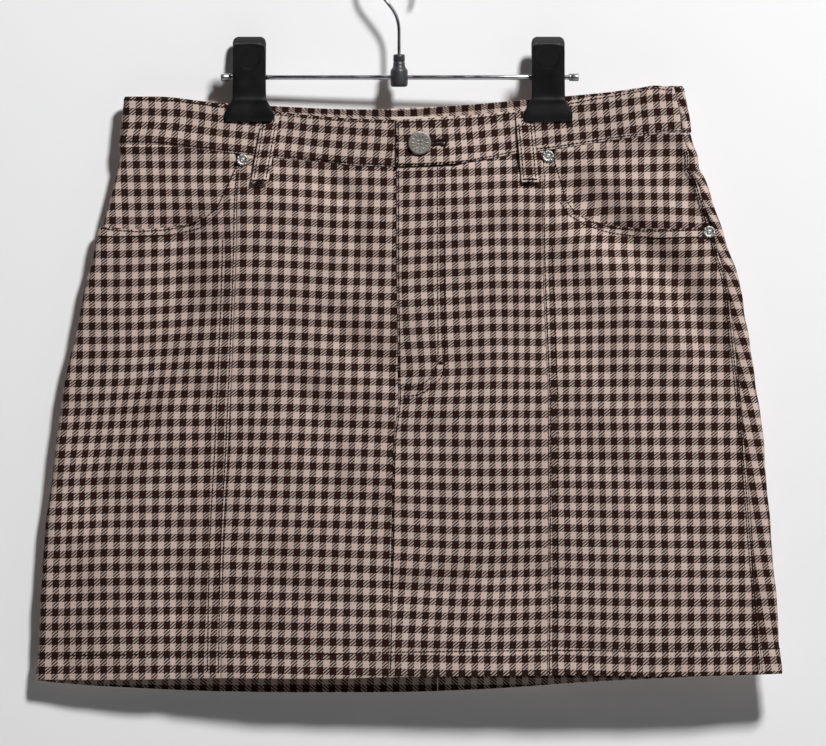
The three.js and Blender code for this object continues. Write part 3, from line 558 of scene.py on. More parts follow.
def relief(tree, shader, height, strength, distance):
    node = shader_node(tree, "ShaderNodeBump", None, Strength=strength, Distance=distance, Height=height)
    tree.links.new(node.outputs[0], shader.inputs["Normal"])


def object_place(tree):
    return shader_node(tree, "ShaderNodeTexCoord").outputs["Object"]


def noise_at(tree, vector, scale, detail=2.0):
    return shader_node(tree, "ShaderNodeTexNoise", None, Vector=vector, Scale=scale,
                       Detail=detail).outputs[0]


def mottled(name, roughness, metallic, scale, detail, low, high, sharpen=None, wear=None, bump=None):
    """A material whose colour, and where asked its roughness and relief, wander with a noise."""
    material, tree, shader = new_material(name, roughness, metallic)
    noise = noise_at(tree, object_place(tree), scale, detail)
    share = ramp_between(tree, noise, *sharpen) if sharpen else noise
    tree.links.new(mix_colour(tree, share, (*low, 1), (*high, 1)), shader.inputs["Base Color"])
    if wear:
        tree.links.new(ramp_between(tree, noise, *wear), shader.inputs["Roughness"])
    if bump:
        relief(tree, shader, noise, *bump)
    return material, tree, shader


def scaled_uv(tree, uv, wide, tall):
    return shader_node(tree, "ShaderNodeVectorMath", {"operation": "MULTIPLY"},
                       i0=uv, i1=(wide, tall, 1)).outputs[0]


# Twill lines to a centimetre of cloth, across and up.
TWILL_ACROSS = 3.6
TWILL_UP = 3.9


def checked_twill(name, dark, light):
    """Gingham in a 2/2 twill: where the warp lies on top its stripe shows, elsewhere the weft's."""
    material, tree, shader = new_material(name, 0.92)
    uv = shader_node(tree, "ShaderNodeUVMap", {"uv_map": "checks"}).outputs[0]
    wander = noise_at(tree, scaled_uv(tree, uv, 5, 5), 1.0)
    wander = math_node(tree, "MULTIPLY", math_node(tree, "SUBTRACT", wander, 0.5), 0.05)
    split = shader_node(tree, "ShaderNodeSeparateXYZ", None, Vector=uv)
    across = math_node(tree, "ADD", split.outputs[0], wander)
    up = math_node(tree, "ADD", split.outputs[1], wander)

    def stripe(count):
        return ramp_between(tree, math_node(tree, "PINGPONG", count, 0.5), 0.251, 0.275)

    def yarn(wide, tall):
        return ramp_between(tree, noise_at(tree, scaled_uv(tree, uv, wide, tall), 1.0, 1.0), 0.3, 0.7)

    def yarn_colour(count, grain):
        pale = mix_colour(tree, grain, tuple(0.86 * c for c in light[:3]) + (1,),
                          tuple(1.13 * c for c in light[:3]) + (1,))
        deep = mix_colour(tree, grain, tuple(0.7 * c for c in dark[:3]) + (1,),
                          tuple(1.5 * c for c in dark[:3]) + (1,))
        return mix_colour(tree, stripe(count), deep, pale)

    warp = yarn_colour(across, yarn(32, 1.4))
    weft = yarn_colour(up, yarn(1.4, 32))
    yarns = shader_node(tree, "ShaderNodeUVMap", {"uv_map": "yarns"}).outputs[0]
    lengths = shader_node(tree, "ShaderNodeSeparateXYZ", None, Vector=yarns)
    slant = math_node(tree, "SUBTRACT", math_node(tree, "MULTIPLY", lengths.outputs[0], TWILL_ACROSS),
                      math_node(tree, "MULTIPLY", lengths.outputs[1], TWILL_UP))
    line = math_node(tree, "PINGPONG", slant, 0.5)
    on_top = ramp_between(tree, line, 0.22, 0.28)
    colour = mix_colour(tree, on_top, weft, warp)
    differ = math_node(tree, "ABSOLUTE", math_node(tree, "SUBTRACT", stripe(across), stripe(up)))
    shade = math_node(tree, "SUBTRACT", 1.0, math_node(tree, "MULTIPLY", differ, 0.24))
    cloud = noise_at(tree, object_place(tree), 9.0, 3.0)
    fade = math_node(tree, "MULTIPLY", shade, ramp_between(tree, cloud, 0.3, 0.7, 0.94, 1.06))
    colour = shader_node(tree, "ShaderNodeVectorMath", {"operation": "SCALE"}, i0=colour, Scale=fade)
    tree.links.new(colour.outputs[0], shader.inputs["Base Color"])
    fuzz = noise_at(tree, scaled_uv(tree, uv, 40, 40), 1.0)
    height = math_node(tree, "ADD", line, math_node(tree, "MULTIPLY", fuzz, 0.9))
    relief(tree, shader, height, 0.4, 0.0002)
    tree.links.new(ramp_between(tree, fuzz, 0.3, 0.7, 0.86, 0.98), shader.inputs["Roughness"])
    shader.inputs["Specular IOR Level"].default_value = 0.08
    shader.inputs["Sheen Weight"].default_value = 0.03
    shader.inputs["Sheen Roughness"].default_value = 0.5
    shader.inputs["Sheen Tint"].default_value = (0.9, 0.82, 0.76, 1)
    return material


twill = checked_twill("checked twill", (0.0185, 0.0064, 0.0042, 1), (0.52, 0.405, 0.356, 1))


def sewn_piece(name, node, girth, z, raise_by, across, up, thickness, material=twill):
    piece = cloth_mesh(name, girth, z, raise_by, across, up, thickness)
    piece.data.materials.append(material)
    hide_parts(node)
    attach(piece, "root")
    wide, tall, area = flat_size(girth, z)


def hemmed_panel(name, node, start, end, wide, top, top_guess, columns, rows, girth_at,
                 raise_at=None, crowd=0.0):
    """A panel from its upper edge down to the hem, between two lines down the cloth.

    Crowd draws the columns of its grid a little towards its end or, below nothing, its start.
    """
    share = spread(0, wide, STEP_SIZE) / wide
    if crowd:
        share = share ** (1 / (1 + crowd)) if crowd > 0 else 1 - (1 - share) ** (1 / (1 - crowd))
    down = spread(0, PANEL_TALL, STEP_SIZE)[:, None] / PANEL_TALL
    girth, z = strip(start, end, share[None, :], down, top, top_guess, hem_edge, HEM_NEAR)
    raise_by = hem_roll(girth, z) + slub(girth, z) - edge_sink(girth, z)
    if raise_at:
        raise_by = raise_by + raise_at(girth, z)
    across = count_across(girth, z, girth_at, columns)
    up = count_up(face_point(girth, z)[..., 0], z, rows)
    sewn_piece(name, node, girth, z, raise_by, across, up, CLOTH)


half_gap = SEAM_GAP / 2
hemmed_panel(
    "back_panel_right", "back_right",
    lambda z: side_seam(z) + half_gap,
    lambda z: back_seam(z) - half_gap,
    250, below_band, -145,
    [(0, [(31.1, -113.2), (31.1, -548.2)])],
    [(0, [(-289.3, -519.2), (290.7, -519.2)])],
    back_girth)
hemmed_panel(
    "back_panel_left", "back_left",
    lambda z: back_seam(z) + half_gap,
    lambda z: far_side_seam(z) - half_gap,
    262, below_band, -150,
    [(0, [(7.2, -113.2), (7.2, -548.2)])],
    [(0, [(-289.3, -519.2), (290.7, -519.2)])],
    back_girth)

# Front centre panels: they meet at the centre front seam. The right one carries the fly flap,
# which lies a little higher and is held by the curved double row beside the zip.
FLAP_RAISE = 0.9
FLAP_FULL_TO = 34
FLAP_GONE_AT = 42
FLY_BOTTOM = -318


def flap_raise(girth, z):
    x = face_point(girth, z)[..., 0]
    across = 1 - ease(FLAP_FULL_TO, FLAP_GONE_AT, x)
    return FLAP_RAISE * across * ease(FLY_BOTTOM - 14, FLY_BOTTOM, z)


hemmed_panel(
    "centre_panel_left", "front_centre_left",
    seam_line(LEFT_SEAM, half_gap), seam_line(CENTRE_SEAM, -half_gap),
    118, below_band, -158,
    [(-1, [(-112.7, -221.9), (-114.6, -315.4), (-114.9, -367.6), (-117.1, -398.8), (-119.7, -440.9),
           (-122, -504.7)]),
     (0, [(-102.7, -190), (-104, -242.2), (-105.3, -294.4), (-106.6, -336.5), (-108.7, -388.7),
          (-111.3, -451.7), (-112.9, -504.7)]),
     (5, [(-56.3, -171.2), (-57.2, -223.4), (-60.4, -336.5), (-65.2, -452.2), (-66.8, -506.8)]),
     (10, [(-11.1, -178.4), (-12.3, -224.8), (-14.6, -336.5), (-18.9, -451.7), (-19.2, -506.8)])],
    [(-16, [(-122.6, -504.2), (-65.3, -505.4), (-10.2, -506.5)]),
     (-11, [(-122.6, -450.5), (-65.3, -451.7), (-9.8, -453.5)]),
     (-6, [(-118.2, -398.4), (-65.3, -399.3), (-8, -400.3)]),
     (0, [(-115.3, -336.1), (-79.1, -336.3), (-61, -337), (-42.1, -337.7), (-23.7, -337.9),
          (-5.9, -338.6)]),
     (13, [(-103, -200.4), (-84.2, -201.2), (-66, -202.3), (-47.6, -203.5), (-30.1, -203.9),
           (-11.7, -204.3)])],
    front_girth)
hemmed_panel(
    "centre_panel_right", "front_centre_right",
    seam_line(CENTRE_SEAM, half_gap), seam_line(RIGHT_SEAM, -half_gap),
    110, below_band, -158,
    [(0, [(5.4, -167.5), (4.9, -208.9), (4.3, -240), (4.4, -260.3), (5.4, -281.4), (7.5, -301.7),
          (7.9, -311.8), (5.4, -330.7), (3.7, -351), (3.8, -435.1), (2.8, -455.4), (0, -497.4),
          (-0.7, -517.7)]),
     (5, [(48.2, -165.4), (49.2, -214.7), (49.9, -247.3), (50.6, -279.9), (51.3, -310.4), (50.2, -337.9),
          (49.9, -359.7), (50.1, -435.1), (46.3, -497.4), (45.5, -517.7)]),
     (8, [(75.6, -184.9), (76.3, -247.3), (76.8, -308.9), (76.1, -351), (76.3, -435.1), (73.7, -497.4),
          (73.1, -517.7)]),
     (11, [(100.7, -184.9), (100.7, -351), (100.8, -435.1), (100.6, -497.4), (100.2, -517.7)])],
    [(0, [(-0.8, -517.3), (17.3, -517.6), (44.9, -518.3), (72.4, -518.5), (99.5, -517.9)]),
     (6, [(2.8, -454.6), (21, -455.6), (39.8, -456.4), (63.7, -456.9), (83.3, -456.4), (100.7, -455.8)]),
     (10, [(3.6, -413), (22.4, -413.9), (49.2, -414.7), (69.5, -414.8), (100.7, -414)]),
     (16, [(3.8, -350.9), (49.2, -351.3), (100.7, -351.3)]),
     (20, [(4.3, -311.6), (36.9, -310.7), (69.5, -309.3), (102.2, -309.8)]),
     (26, [(4.3, -250.8), (36.9, -248.9), (69.5, -247), (100.7, -247.4)]),
     (34, [(5, -167.8), (48.5, -165.9), (84, -164.2), (100.7, -164.4)])],
    front_girth, flap_raise)

# Front side panels: each has the curved opening of a pocket cut out of its top, wraps round the
# side or stops just short of it, and is joined to the back by a double-stitched side seam.
HIP = -205.5
LEFT_POCKET = [
    (-240, HIP),
    (-212, HIP),
    (-190, -207),
    (-172.6, -206),
    (-154.6, -203.4),
    (-139.6, -196.8),
    (-130.6, -187.8),
    (-122.7, -171.2),
    (-118.2, -161),
    (-115, -153),
]
RIGHT_POCKET = [
    (105, -150),
    (112, -152),
    (113.5, -159),
    (116.5, -169),
    (121, -185),
    (127.5, -193.6),
    (138.7, -200.2),
    (154.7, -204.1),
    (178.7, -206.7),
    (200, -206.5),
    (222, HIP),
    (240, HIP),
]


def left_pocket_edge(girth, z):
    return read(LEFT_POCKET, 1, face_point(girth, z)[..., 0])


def right_pocket_edge(girth, z):
    return read(RIGHT_POCKET, 1, face_point(girth, z)[..., 0])


hemmed_panel(
    "side_panel_left", "front_side_left",
    lambda z: left_side_seam(z) + half_gap, seam_line(LEFT_SEAM, -half_gap),
    150, left_pocket_edge, -200,
    [(-6, [(-240.3, -297.3), (-241.5, -336.5), (-245.6, -388.7), (-248.3, -451), (-249.5, -515.5)]),
     (-3, [(-213.9, -213.9), (-213.5, -297.6), (-215.8, -336.5), (-221.2, -388.7), (-223.1, -451),
           (-223.4, -515.5)]),
     (0, [(-186.5, -213.9), (-186.8, -250.9), (-187.1, -290.8), (-188.1, -316.2), (-190.9, -336.5),
          (-194.9, -388.7), (-195.5, -451), (-195.1, -515.5)]),
     (3, [(-158.7, -213.9), (-159.4, -250.9), (-160.3, -279.9), (-164.4, -323.4), (-165.3, -336.5),
          (-166.5, -388.7), (-168.1, -451), (-168.1, -515.5)]),
     (7, [(-125.1, -194.4), (-124.2, -214.7), (-123.8, -232.1), (-125.4, -273.4), (-127.2, -315.4),
          (-128.5, -336.5), (-129.8, -388.7), (-131.4, -451), (-134.9, -515.5)])],
    [(0, [(-256.7, -516), (-195.8, -515.2), (-135.6, -514.7)]),
     (6, [(-254.5, -453.4), (-241.5, -453.1), (-213.9, -451.7), (-132, -451.2)]),
     (12, [(-245.8, -390.8), (-213.9, -389.3), (-180.6, -388.7), (-130.1, -387.9)]),
     (17, [(-241.5, -339.5), (-216.1, -338.8), (-191.5, -337.9), (-175.5, -336.9), (-128.4, -336.5)]),
     (23, [(-224.1, -277.3), (-191.5, -277.2), (-158.8, -275.1), (-126.2, -273.9)]),
     (29, [(-204.7, -214.7), (-168.3, -213.5), (-150.1, -212.2), (-124, -211.4)])],
    front_girth, crowd=0.12)
hemmed_panel(
    "side_panel_right", "front_side_right",
    seam_line(RIGHT_SEAM, half_gap), lambda z: side_seam(z) - half_gap,
    150, right_pocket_edge, -200,
    [(0, [(110.9, -206), (110.4, -236.4), (112, -297.3), (112.3, -340.1), (112.6, -392.3),
          (113.5, -455.4), (113, -517)]),
     (4, [(145.7, -206), (144.6, -224.1), (146.5, -265.4), (146.1, -339.4), (146.8, -360.4),
          (148.1, -445.2), (147.8, -519.2)]),
     (8, [(181.9, -224.1), (181.9, -265.4), (181.6, -339.4), (181.9, -360.4), (183.1, -445.2),
          (183.1, -519.2)]),
     (13, [(228, -224.1), (227.6, -265.4), (228.6, -339.4), (228.3, -360.4), (229.8, -445.2),
           (230.2, -519.2)])],
    [(0, [(113, -517.3), (139.1, -518.4), (165.2, -519.4), (173.9, -519.9), (211.6, -519.6),
          (266.7, -519.6)]),
     (7, [(113.8, -444.1), (139.6, -444.8), (173.9, -445.6), (201.5, -445.9), (248.6, -446.4)]),
     (15, [(112.3, -360.4), (247.2, -360.7)]),
     (17, [(112.3, -339.6), (137.7, -339.6), (228.3, -339.1), (247.2, -339.4)]),
     (23, [(110.9, -277.2), (134.8, -276.7), (167.4, -275.6), (200, -276.2), (232.7, -276.8)]),
     (26, [(110.9, -246), (134.8, -245.3), (167.4, -244.5), (200, -245.6), (232.7, -245.5)]),
     (28, [(110.9, -226.3), (144.2, -224.1), (181.9, -225), (209.5, -224.8), (228, -223.7)]),
     (30, [(110.9, -206), (138.4, -203.6), (160.2, -204.5), (181.9, -205.6), (218.2, -205.6)])],
    front_girth, crowd=-0.12)

# Pocket facings: the piece of hip that shows inside each pocket opening, one layer behind the
# opening's edge and sewn to the waistband and the side.
POCKET_GAP = 1.2
POCKET_TUCK = 10
FACING_STEP = 2.1
FACING_TALL = 60
FACING_RAISE = -(CLOTH + POCKET_GAP)


def facing_raise(girth, z):
    """The facing lies behind the panel and comes up level with the cloth at the side seam."""
    from_seam = np.minimum(np.abs(girth - left_side_seam(z)), np.abs(side_seam(z) - girth))
    level = np.maximum(ease(9, 1, from_seam), ease(10, 2, below_band(girth, z) - z))
    edge = np.where(girth < 200, left_pocket_edge(girth, z), right_pocket_edge(girth, z))
    return mix(FACING_RAISE, -0.1, level * ease(4, 15, z - edge))


def facing(name, node, start, end, wide, low_edge, columns, rows):
    share = spread(0, wide, FACING_STEP)[None, :] / wide
    down = spread(0, FACING_TALL, FACING_STEP)[:, None] / FACING_TALL
    girth, z = strip(start, end, share, down, below_band, -145,
                     lambda girth, z: low_edge(girth, z) - POCKET_TUCK, -190)
    raise_by = facing_raise(girth, z) + 0.35 * slub(girth, z) - edge_sink(girth, z, 0.25, 1.3, False)
    across = count_across(girth, z, front_girth, columns)
    up = count_up(face_point(girth, z)[..., 0], z, rows)
    sewn_piece(name, node, girth, z, raise_by, across, up, CLOTH)


facing(
    "facing_cloth_left", "pocket_facing_left",
    lambda z: left_side_seam(z) + half_gap, lambda z: front_girth(-118.5, z),
    108, left_pocket_edge,
    [(0, [(-190.9, -150.1), (-190, -169.3), (-189.1, -201.4)]),
     (5, [(-143.8, -150.1), (-144.3, -169.3), (-142.9, -201.4)])],
    [(0, [(-198.7, -200.5), (-126.2, -200.9)]), (5, [(-198.7, -150), (-126.2, -149.6)])])
facing(
    "facing_cloth_right", "pocket_facing_right",
    lambda z: front_girth(112.5, z), lambda z: side_seam(z) - half_gap,
    108, right_pocket_edge,
    [(0, [(119.6, -153.6), (120.3, -194.1)]), (3, [(148, -152.1), (148.6, -194.1)]),
     (8, [(193.7, -151.4), (194, -193.6)])],
    [(0, [(119.6, -195.1), (148.6, -194.1), (193.5, -193.5), (221.6, -194.7)]),
     (4, [(119.6, -153.6), (145.7, -152.2), (193.5, -151.4)])])

# Waistband: three double pieces with an interlining. The front left one runs on under the button,
# the front right one laps over it with the buttonhole, and the back one closes the ring.
BAND_CLOTH = 2.4
BAND_STEP = 1.6
BAND_PROUD = 0.6
LAP_RAISE = 2.7
LAP_FULL_TO = 36
LAP_GONE_AT = 52
UNDERLAP_END = 33


def lap_raise(girth, z):
    return LAP_RAISE * (1 - ease(LAP_FULL_TO, LAP_GONE_AT, face_point(girth, z)[..., 0]))


def band(name, node, start, end, wide, columns, rows, girth_at, raise_at=None):
    share = spread(0, wide, BAND_STEP, (0.4, 0.9))[None, :] / wide
    from_top = spread(0, BAND_HEIGHT, BAND_STEP, (0.4, 0.9))[:, None]
    girth, z = strip(start, end, share, from_top / BAND_HEIGHT, waist_top, -127, waist_seam, -157)
    raise_by = BAND_PROUD + 0.3 * slub(girth, z) - edge_sink(girth, z, 0.6, 0.9)
    grooves = bell(from_top, 2.1, 0.8) + bell(from_top, 32.4, 0.8)
    raise_by = raise_by - 0.28 * grooves
    if raise_at:
        raise_by = raise_by + raise_at(girth, z)
    across = count_across(girth, z, girth_at, columns)
    up = count_up(face_point(girth, z)[..., 0], z, rows)
    sewn_piece(name, node, girth, z, raise_by, across, up, BAND_CLOTH)


band(
    "band_front_left", "waistband_front_left",
    lambda z: left_side_seam(z) + half_gap, lambda z: front_girth(UNDERLAP_END, z),
    243,
    [(0, [(-188.4, -122), (-188.8, -131.6), (-190.9, -141.2)]),
     (6, [(-133.5, -126.4), (-134.7, -136.7), (-135.1, -146.7)]),
     (12, [(-78.4, -132), (-79.8, -142.2), (-81, -152.7)]),
     (20, [(-5.9, -137.8), (-6.6, -148), (-8, -158.4)])],
    [(0, [(-199.4, -141.6), (-181.5, -141.6), (-163.3, -143.4), (-144.3, -145.8), (-126.2, -147.6),
          (-108.1, -149.2), (-89.5, -151.6), (-72.3, -153.5), (-53.7, -155.6), (-35.2, -157.1),
          (-8, -158.4)]),
     (1, [(-198.1, -131.9), (-180, -131.6), (-162.5, -132.7), (-143.8, -135.1), (-125.4, -137.7),
          (-106.9, -139.5), (-88.1, -141.4), (-71.1, -143.2), (-53, -145.1), (-34.4, -146.5),
          (-6.6, -148)]),
     (2, [(-197.5, -121.6), (-179.7, -122.2), (-161.2, -122.6), (-142.5, -124.8), (-133.5, -126.4),
          (-78.4, -132), (-60.5, -134.2), (-42.8, -135.6), (-24.7, -136.8), (-5.9, -137.8)])],
    front_girth)
band(
    "band_front_right", "waistband_front_right",
    lambda z: front_girth(-2.2, z), lambda z: side_seam(z) - half_gap,
    212,
    [(0, [(5, -131.3), (6.5, -151.6)]), (5, [(50.2, -129.8), (51.8, -149.4)]),
     (8, [(77.5, -125.9), (79.2, -146.5)]), (14, [(131.7, -119.5), (133.3, -139.1)]),
     (20, [(186.1, -111.9), (187.9, -132.7)])],
    [(0, [(6.5, -151.6), (32.8, -151.6), (51.8, -149.4), (70.3, -147.2), (79.2, -146.5), (106.4, -142.7),
          (133.3, -139.1), (152, -137.1), (170.1, -134.7), (187.9, -132.7), (205.8, -131.3)]),
     (1, [(6.5, -141.4), (32.6, -141.1), (51, -139.6), (69.5, -137.1), (78.2, -135.9), (133.2, -129.5),
          (151.7, -127.7), (169.6, -124.6), (187.3, -122), (204.9, -121.3)]),
     (2, [(5, -131.3), (31.8, -131), (50.2, -129.8), (68.1, -127.7), (77.5, -125.9), (131.7, -119.5),
          (150.5, -117.4), (168.6, -114.8), (186.1, -111.9), (204.2, -111.3)])],
    front_girth, lap_raise)
band(
    "band_back", "waistband_back",
    lambda z: side_seam(z) + half_gap, lambda z: far_side_seam(z) - half_gap,
    434,
    [(0, [(1.4, -113.2), (1.4, -156.7)])],
    [(0, [(-198.7, -145.8), (1.4, -154.2), (203.7, -136.4)]),
     (1, [(-198.7, -135.3), (1.4, -143.8), (203.7, -125.9)])],
    back_girth)

# Fly: the closed zip behind the flap, a woven tape with two meshed rows of metal teeth, and
# behind it the underlap, a plain shield of the twill.
LAYER_GAP = 0.6
ZIP_CLOTH = 1.2


def fly_strip(left, right, top, foot, raise_value):
    share = spread(0, 1, 0.05, (0.01,))[None, :]
    z = mix(float(top), float(foot), spread(0, 1, 0.02, (0.004,))[:, None]) * np.ones(share.shape)
    girth = front_girth(mix(left, right, share), z)
    return girth, z, np.full(z.shape, float(raise_value))


zip_raise = -(CLOTH + LAYER_GAP)
girth, z, raise_by = fly_strip(-14, 33, -165, FLY_BOTTOM - 6, zip_raise - ZIP_CLOTH - LAYER_GAP)
underlap_x = face_point(girth, z)[..., 0]
sewn_piece("fly_shield", "fly_underlap", girth, z, raise_by, underlap_x / CHECK_WIDE, z / CHECK_TALL,
           CLOTH)


def ribbed(name, roughness, direction, wide, tall, low, high):
    """A woven tape with ribs across its map."""
    material, tree, shader = new_material(name, roughness)
    uv = shader_node(tree, "ShaderNodeUVMap", {"uv_map": "checks"}).outputs[0]
    rib = shader_node(tree, "ShaderNodeTexWave", {"wave_type": "BANDS", "bands_direction": direction},
                      Vector=scaled_uv(tree, uv, wide, tall), Scale=2.0).outputs[0]
    tree.links.new(mix_colour(tree, rib, (*low, 1), (*high, 1)), shader.inputs["Base Color"])
    return material, tree, shader, rib


tape_brown = ribbed("zip tape", 0.9, "DIAGONAL", 9, 9, (0.016, 0.009, 0.007), (0.03, 0.018, 0.014))[0]
girth, z, raise_by = fly_strip(-12, 18, -166, FLY_BOTTOM, zip_raise)
TAPE_SINK = 0.35
TAPE_CLOTH = 0.8
sewn_piece("fly_zip_tape", "fly_zip", girth, z, raise_by - TAPE_SINK, girth / CHECK_WIDE,
           z / CHECK_TALL, TAPE_CLOTH, tape_brown)

brass = mottled("zip brass", 0.4, 1.0, 900.0, 2.0, (0.3, 0.26, 0.2), (0.5, 0.45, 0.36))[0]


def oriented(point, along, outward):
    """A turn and place whose X runs along a seam and whose Z points out of the cloth."""
    x_axis = Vector(along).normalized()
    z_axis = Vector(outward)
    z_axis = (z_axis - x_axis * z_axis.dot(x_axis)).normalized()
    y_axis = z_axis.cross(x_axis)
    turn = Matrix((x_axis, y_axis, z_axis)).transposed().to_4x4()
    turn.translation = Vector(point) * 0.001
    return turn


def place_on_cloth(girth, z, raise_by, along=(0, 0, -1)):
    point = raised_point(np.array([girth]), np.array([z]), np.array([raise_by]))[0]
    return oriented(point, along, face_normal(np.array([girth]), np.array([z]))[0])


def finish_piece(shape, name, material, node=None, smooth=True):
    """Turns a finished bmesh into a piece that rides on the part, with its material and slot."""
    for face in shape.faces:
        face.smooth = smooth
    piece = linked_object(name, shape)
    piece.data.materials.append(material)
    if node:
        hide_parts(*([node] if isinstance(node, str) else node))
    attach(piece, "root")
    return piece


TEETH = 74
TEETH_TOP = -168.5
TOOTH_PITCH = 2.0
TOOTH_SIZE = (1.1, 3.2, 0.9)
ZIP_MIDDLE = 3.0
ZIP_STAGGER = 0.7
teeth = bmesh.new()
for step in range(TEETH):
    tooth_z = TEETH_TOP - step * TOOTH_PITCH
    tooth_x = ZIP_MIDDLE + (ZIP_STAGGER if step % 2 else -ZIP_STAGGER)
    turn = place_on_cloth(float(front_girth(tooth_x, tooth_z)), tooth_z, zip_raise - 0.1)
    made = bmesh.ops.create_cube(teeth, size=0.001, matrix=turn @ Matrix.Diagonal((*TOOTH_SIZE, 1)))
    edges = list({edge for vert in made["verts"] for edge in vert.link_edges})
    bmesh.ops.bevel(teeth, geom=edges, offset=0.00018, affect="EDGES", segments=1, profile=0.5,
                    material=-1)
finish_piece(teeth, "fly_zip_teeth", brass, smooth=False)

# Label: a blank cream woven tape, folded and sewn to the inside of the back band. Only its upper
# edge shows.
label_cream, tree, shader, rib = ribbed("cream tape", 0.85, "Y", 1, 12, (0.62, 0.53, 0.43),
                                        (0.74, 0.66, 0.56))
relief(tree, shader, rib, 0.4, 0.0002)
LABEL_LEFT = -6.0
LABEL_RIGHT = 38.0
LABEL_TOP = -125.0
LABEL_FOOT = -140.0
LABEL_CLOTH = 1.0
LABEL_RIB = 9
share = spread(0, 1, 0.04, (0.01,))[None, :]
z = mix(LABEL_TOP, LABEL_FOOT, spread(0, 1, 0.1, (0.03,))[:, None]) * np.ones(share.shape)
girth = back_girth(mix(LABEL_RIGHT, LABEL_LEFT, share), z)
label_raise = BAND_PROUD - BAND_CLOTH - LAYER_GAP
sewn_piece("label_tape", "label", girth, z, np.full(z.shape, label_raise), girth / LABEL_RIB,
           z / LABEL_RIB, LABEL_CLOTH, label_cream)

# Belt loops: folded strips of the twill laid over the band, sewn down at both ends and bowed out
# between. Two are on the front, two at the back sides and one at the centre back.
LOOP_WIDTH = 12.5
LOOP_CLOTH = 1.5
LOOP_BOW = 2.2
JAW_HALF_WIDTH = 17.6
JAW_BOTTOM = -129.1
BELT_LOOPS = [
    ("belt_loop_front_left", True, -92.4, -101, -122.8, -174.8),
    ("belt_loop_front_right", True, 90.4, 94.8, -122, -174),
    ("belt_loop_back_left", False, -140, -142, -115, -165),
    ("belt_loop_back_centre", False, 20.4, 21.2, -119, -168),
    ("belt_loop_back_right", False, 147, 149, -109, -159),
]


def loop_raise(share):
    seat = mix(BAND_PROUD, 0, ease(0.72, 0.9, share)) + SEAM_GAP + 0.05
    bow = LOOP_BOW * ease(0.05, 0.35, share) * (1 - ease(0.7, 0.97, share))
    return seat + bow + LOOP_CLOTH + 2.4 * ease(0.86, 0.96, share)


def loop_middle(loop, share):
    return mix(loop[2], loop[3], share)


for loop in BELT_LOOPS:
    name, on_front, top_x, _, top, foot = loop
    down = spread(0, 1, 0.02, (0.006, 0.012))[:, None]
    z = mix(float(top), float(foot), down)
    middle = loop_middle(loop, down)
    start = middle - LOOP_WIDTH / 2
    end = middle + LOOP_WIDTH / 2
    clip = CLIP_LEFT if top_x < 0 else CLIP_RIGHT
    if on_front:
        under_jaw = 1 - ease(JAW_BOTTOM - 2.4, JAW_BOTTOM - 0.5, z)
        if clip < 0:
            start = mix(np.maximum(start, clip + JAW_HALF_WIDTH + 0.6), start, under_jaw)
        else:
            end = mix(np.minimum(end, clip - JAW_HALF_WIDTH - 0.6), end, under_jaw)
    across_share = spread(0, 1, 0.1, (0.03,))[None, :]
    x = mix(start, end, across_share) if on_front else mix(end, start, across_share)
    z = z * np.ones(x.shape)
    girth = front_girth(x, z) if on_front else back_girth(x, z)
    raise_by = loop_raise(down) * np.ones(x.shape)
    edge = np.minimum(across_share, 1 - across_share) * LOOP_WIDTH
    raise_by = raise_by - 0.5 * bell(edge, 0, 0.6) - 0.25 * bell(edge, 2.1, 0.7)
    raise_by = raise_by - 0.3 * bell((1 - down) * 50, 0, 0.6)
    across = (x - middle) / CHECK_WIDE
    up = (z + 132.6) / CHECK_TALL if top_x < 0 else (z + 134.4) / CHECK_TALL
    sewn_piece(name + "_strip", name, girth, z, raise_by, across, up, LOOP_CLOTH)

# Stitching: dark brown thread in short stitches. It holds the hem, both edges of the band, the
# pocket edges, the fly, the seams and the belt loops, and oversews the buttonhole.
thread, tree, shader = mottled("brown thread", 0.85, 0.0, 1400.0, 1.0, (0.008, 0.004, 0.003),
                               (0.026, 0.014, 0.011))
shader.inputs["Specular IOR Level"].default_value = 0.1


STITCH_PITCH = 2.9
STITCH_LENGTH = 2.8
STITCH_THICK = 0.5


def stitch_row(shape, girth, z, raise_by, pitch=STITCH_PITCH, length=STITCH_LENGTH,
               thick=STITCH_THICK):
    """Lays stitches end to end along a line on the cloth."""
    points = raised_point(girth, z, np.asarray(raise_by) + 0.2)
    run = np.concatenate(([0], np.cumsum(np.linalg.norm(np.diff(points, axis=0), axis=-1))))
    normals = face_normal(girth, z)
    for begin in np.arange(0.2, run[-1] - length, pitch):
        ends = [np.array([np.interp(at, run, points[:, k]) for k in range(3)])
                for at in (begin, begin + length)]
        outward = np.array([np.interp(begin + length / 2, run, normals[:, k]) for k in range(3)])
        turn = oriented((ends[0] + ends[1]) / 2, ends[1] - ends[0], outward)
        size = Matrix.Diagonal((length * 0.00052, thick * 0.001, 0.0004, 1))
        bmesh.ops.create_icosphere(shape, subdivisions=1, radius=1, matrix=turn @ size)


def line_on_cloth(points, girth_at=front_girth, count=160):
    """Points along a smooth line on the cloth, through places given across and up."""
    known = np.array(points, float)
    run = np.concatenate(([0], np.cumsum(np.hypot(*np.diff(known, axis=0).T))))
    at = np.linspace(0, run[-1], count)
    x = np.interp(at, run, known[:, 0])
    z = np.interp(at, run, known[:, 1])
    return girth_at(x, z), z


def cloth_row(shape, girth, z, proud=0.1, raise_at=None, **size):
    """A row of stitches on a panel."""
    rise = slub(girth, z) + hem_roll(girth, z) + proud
    if raise_at:
        rise = rise + raise_at(girth, z)
    stitch_row(shape, girth, z, rise, **size)


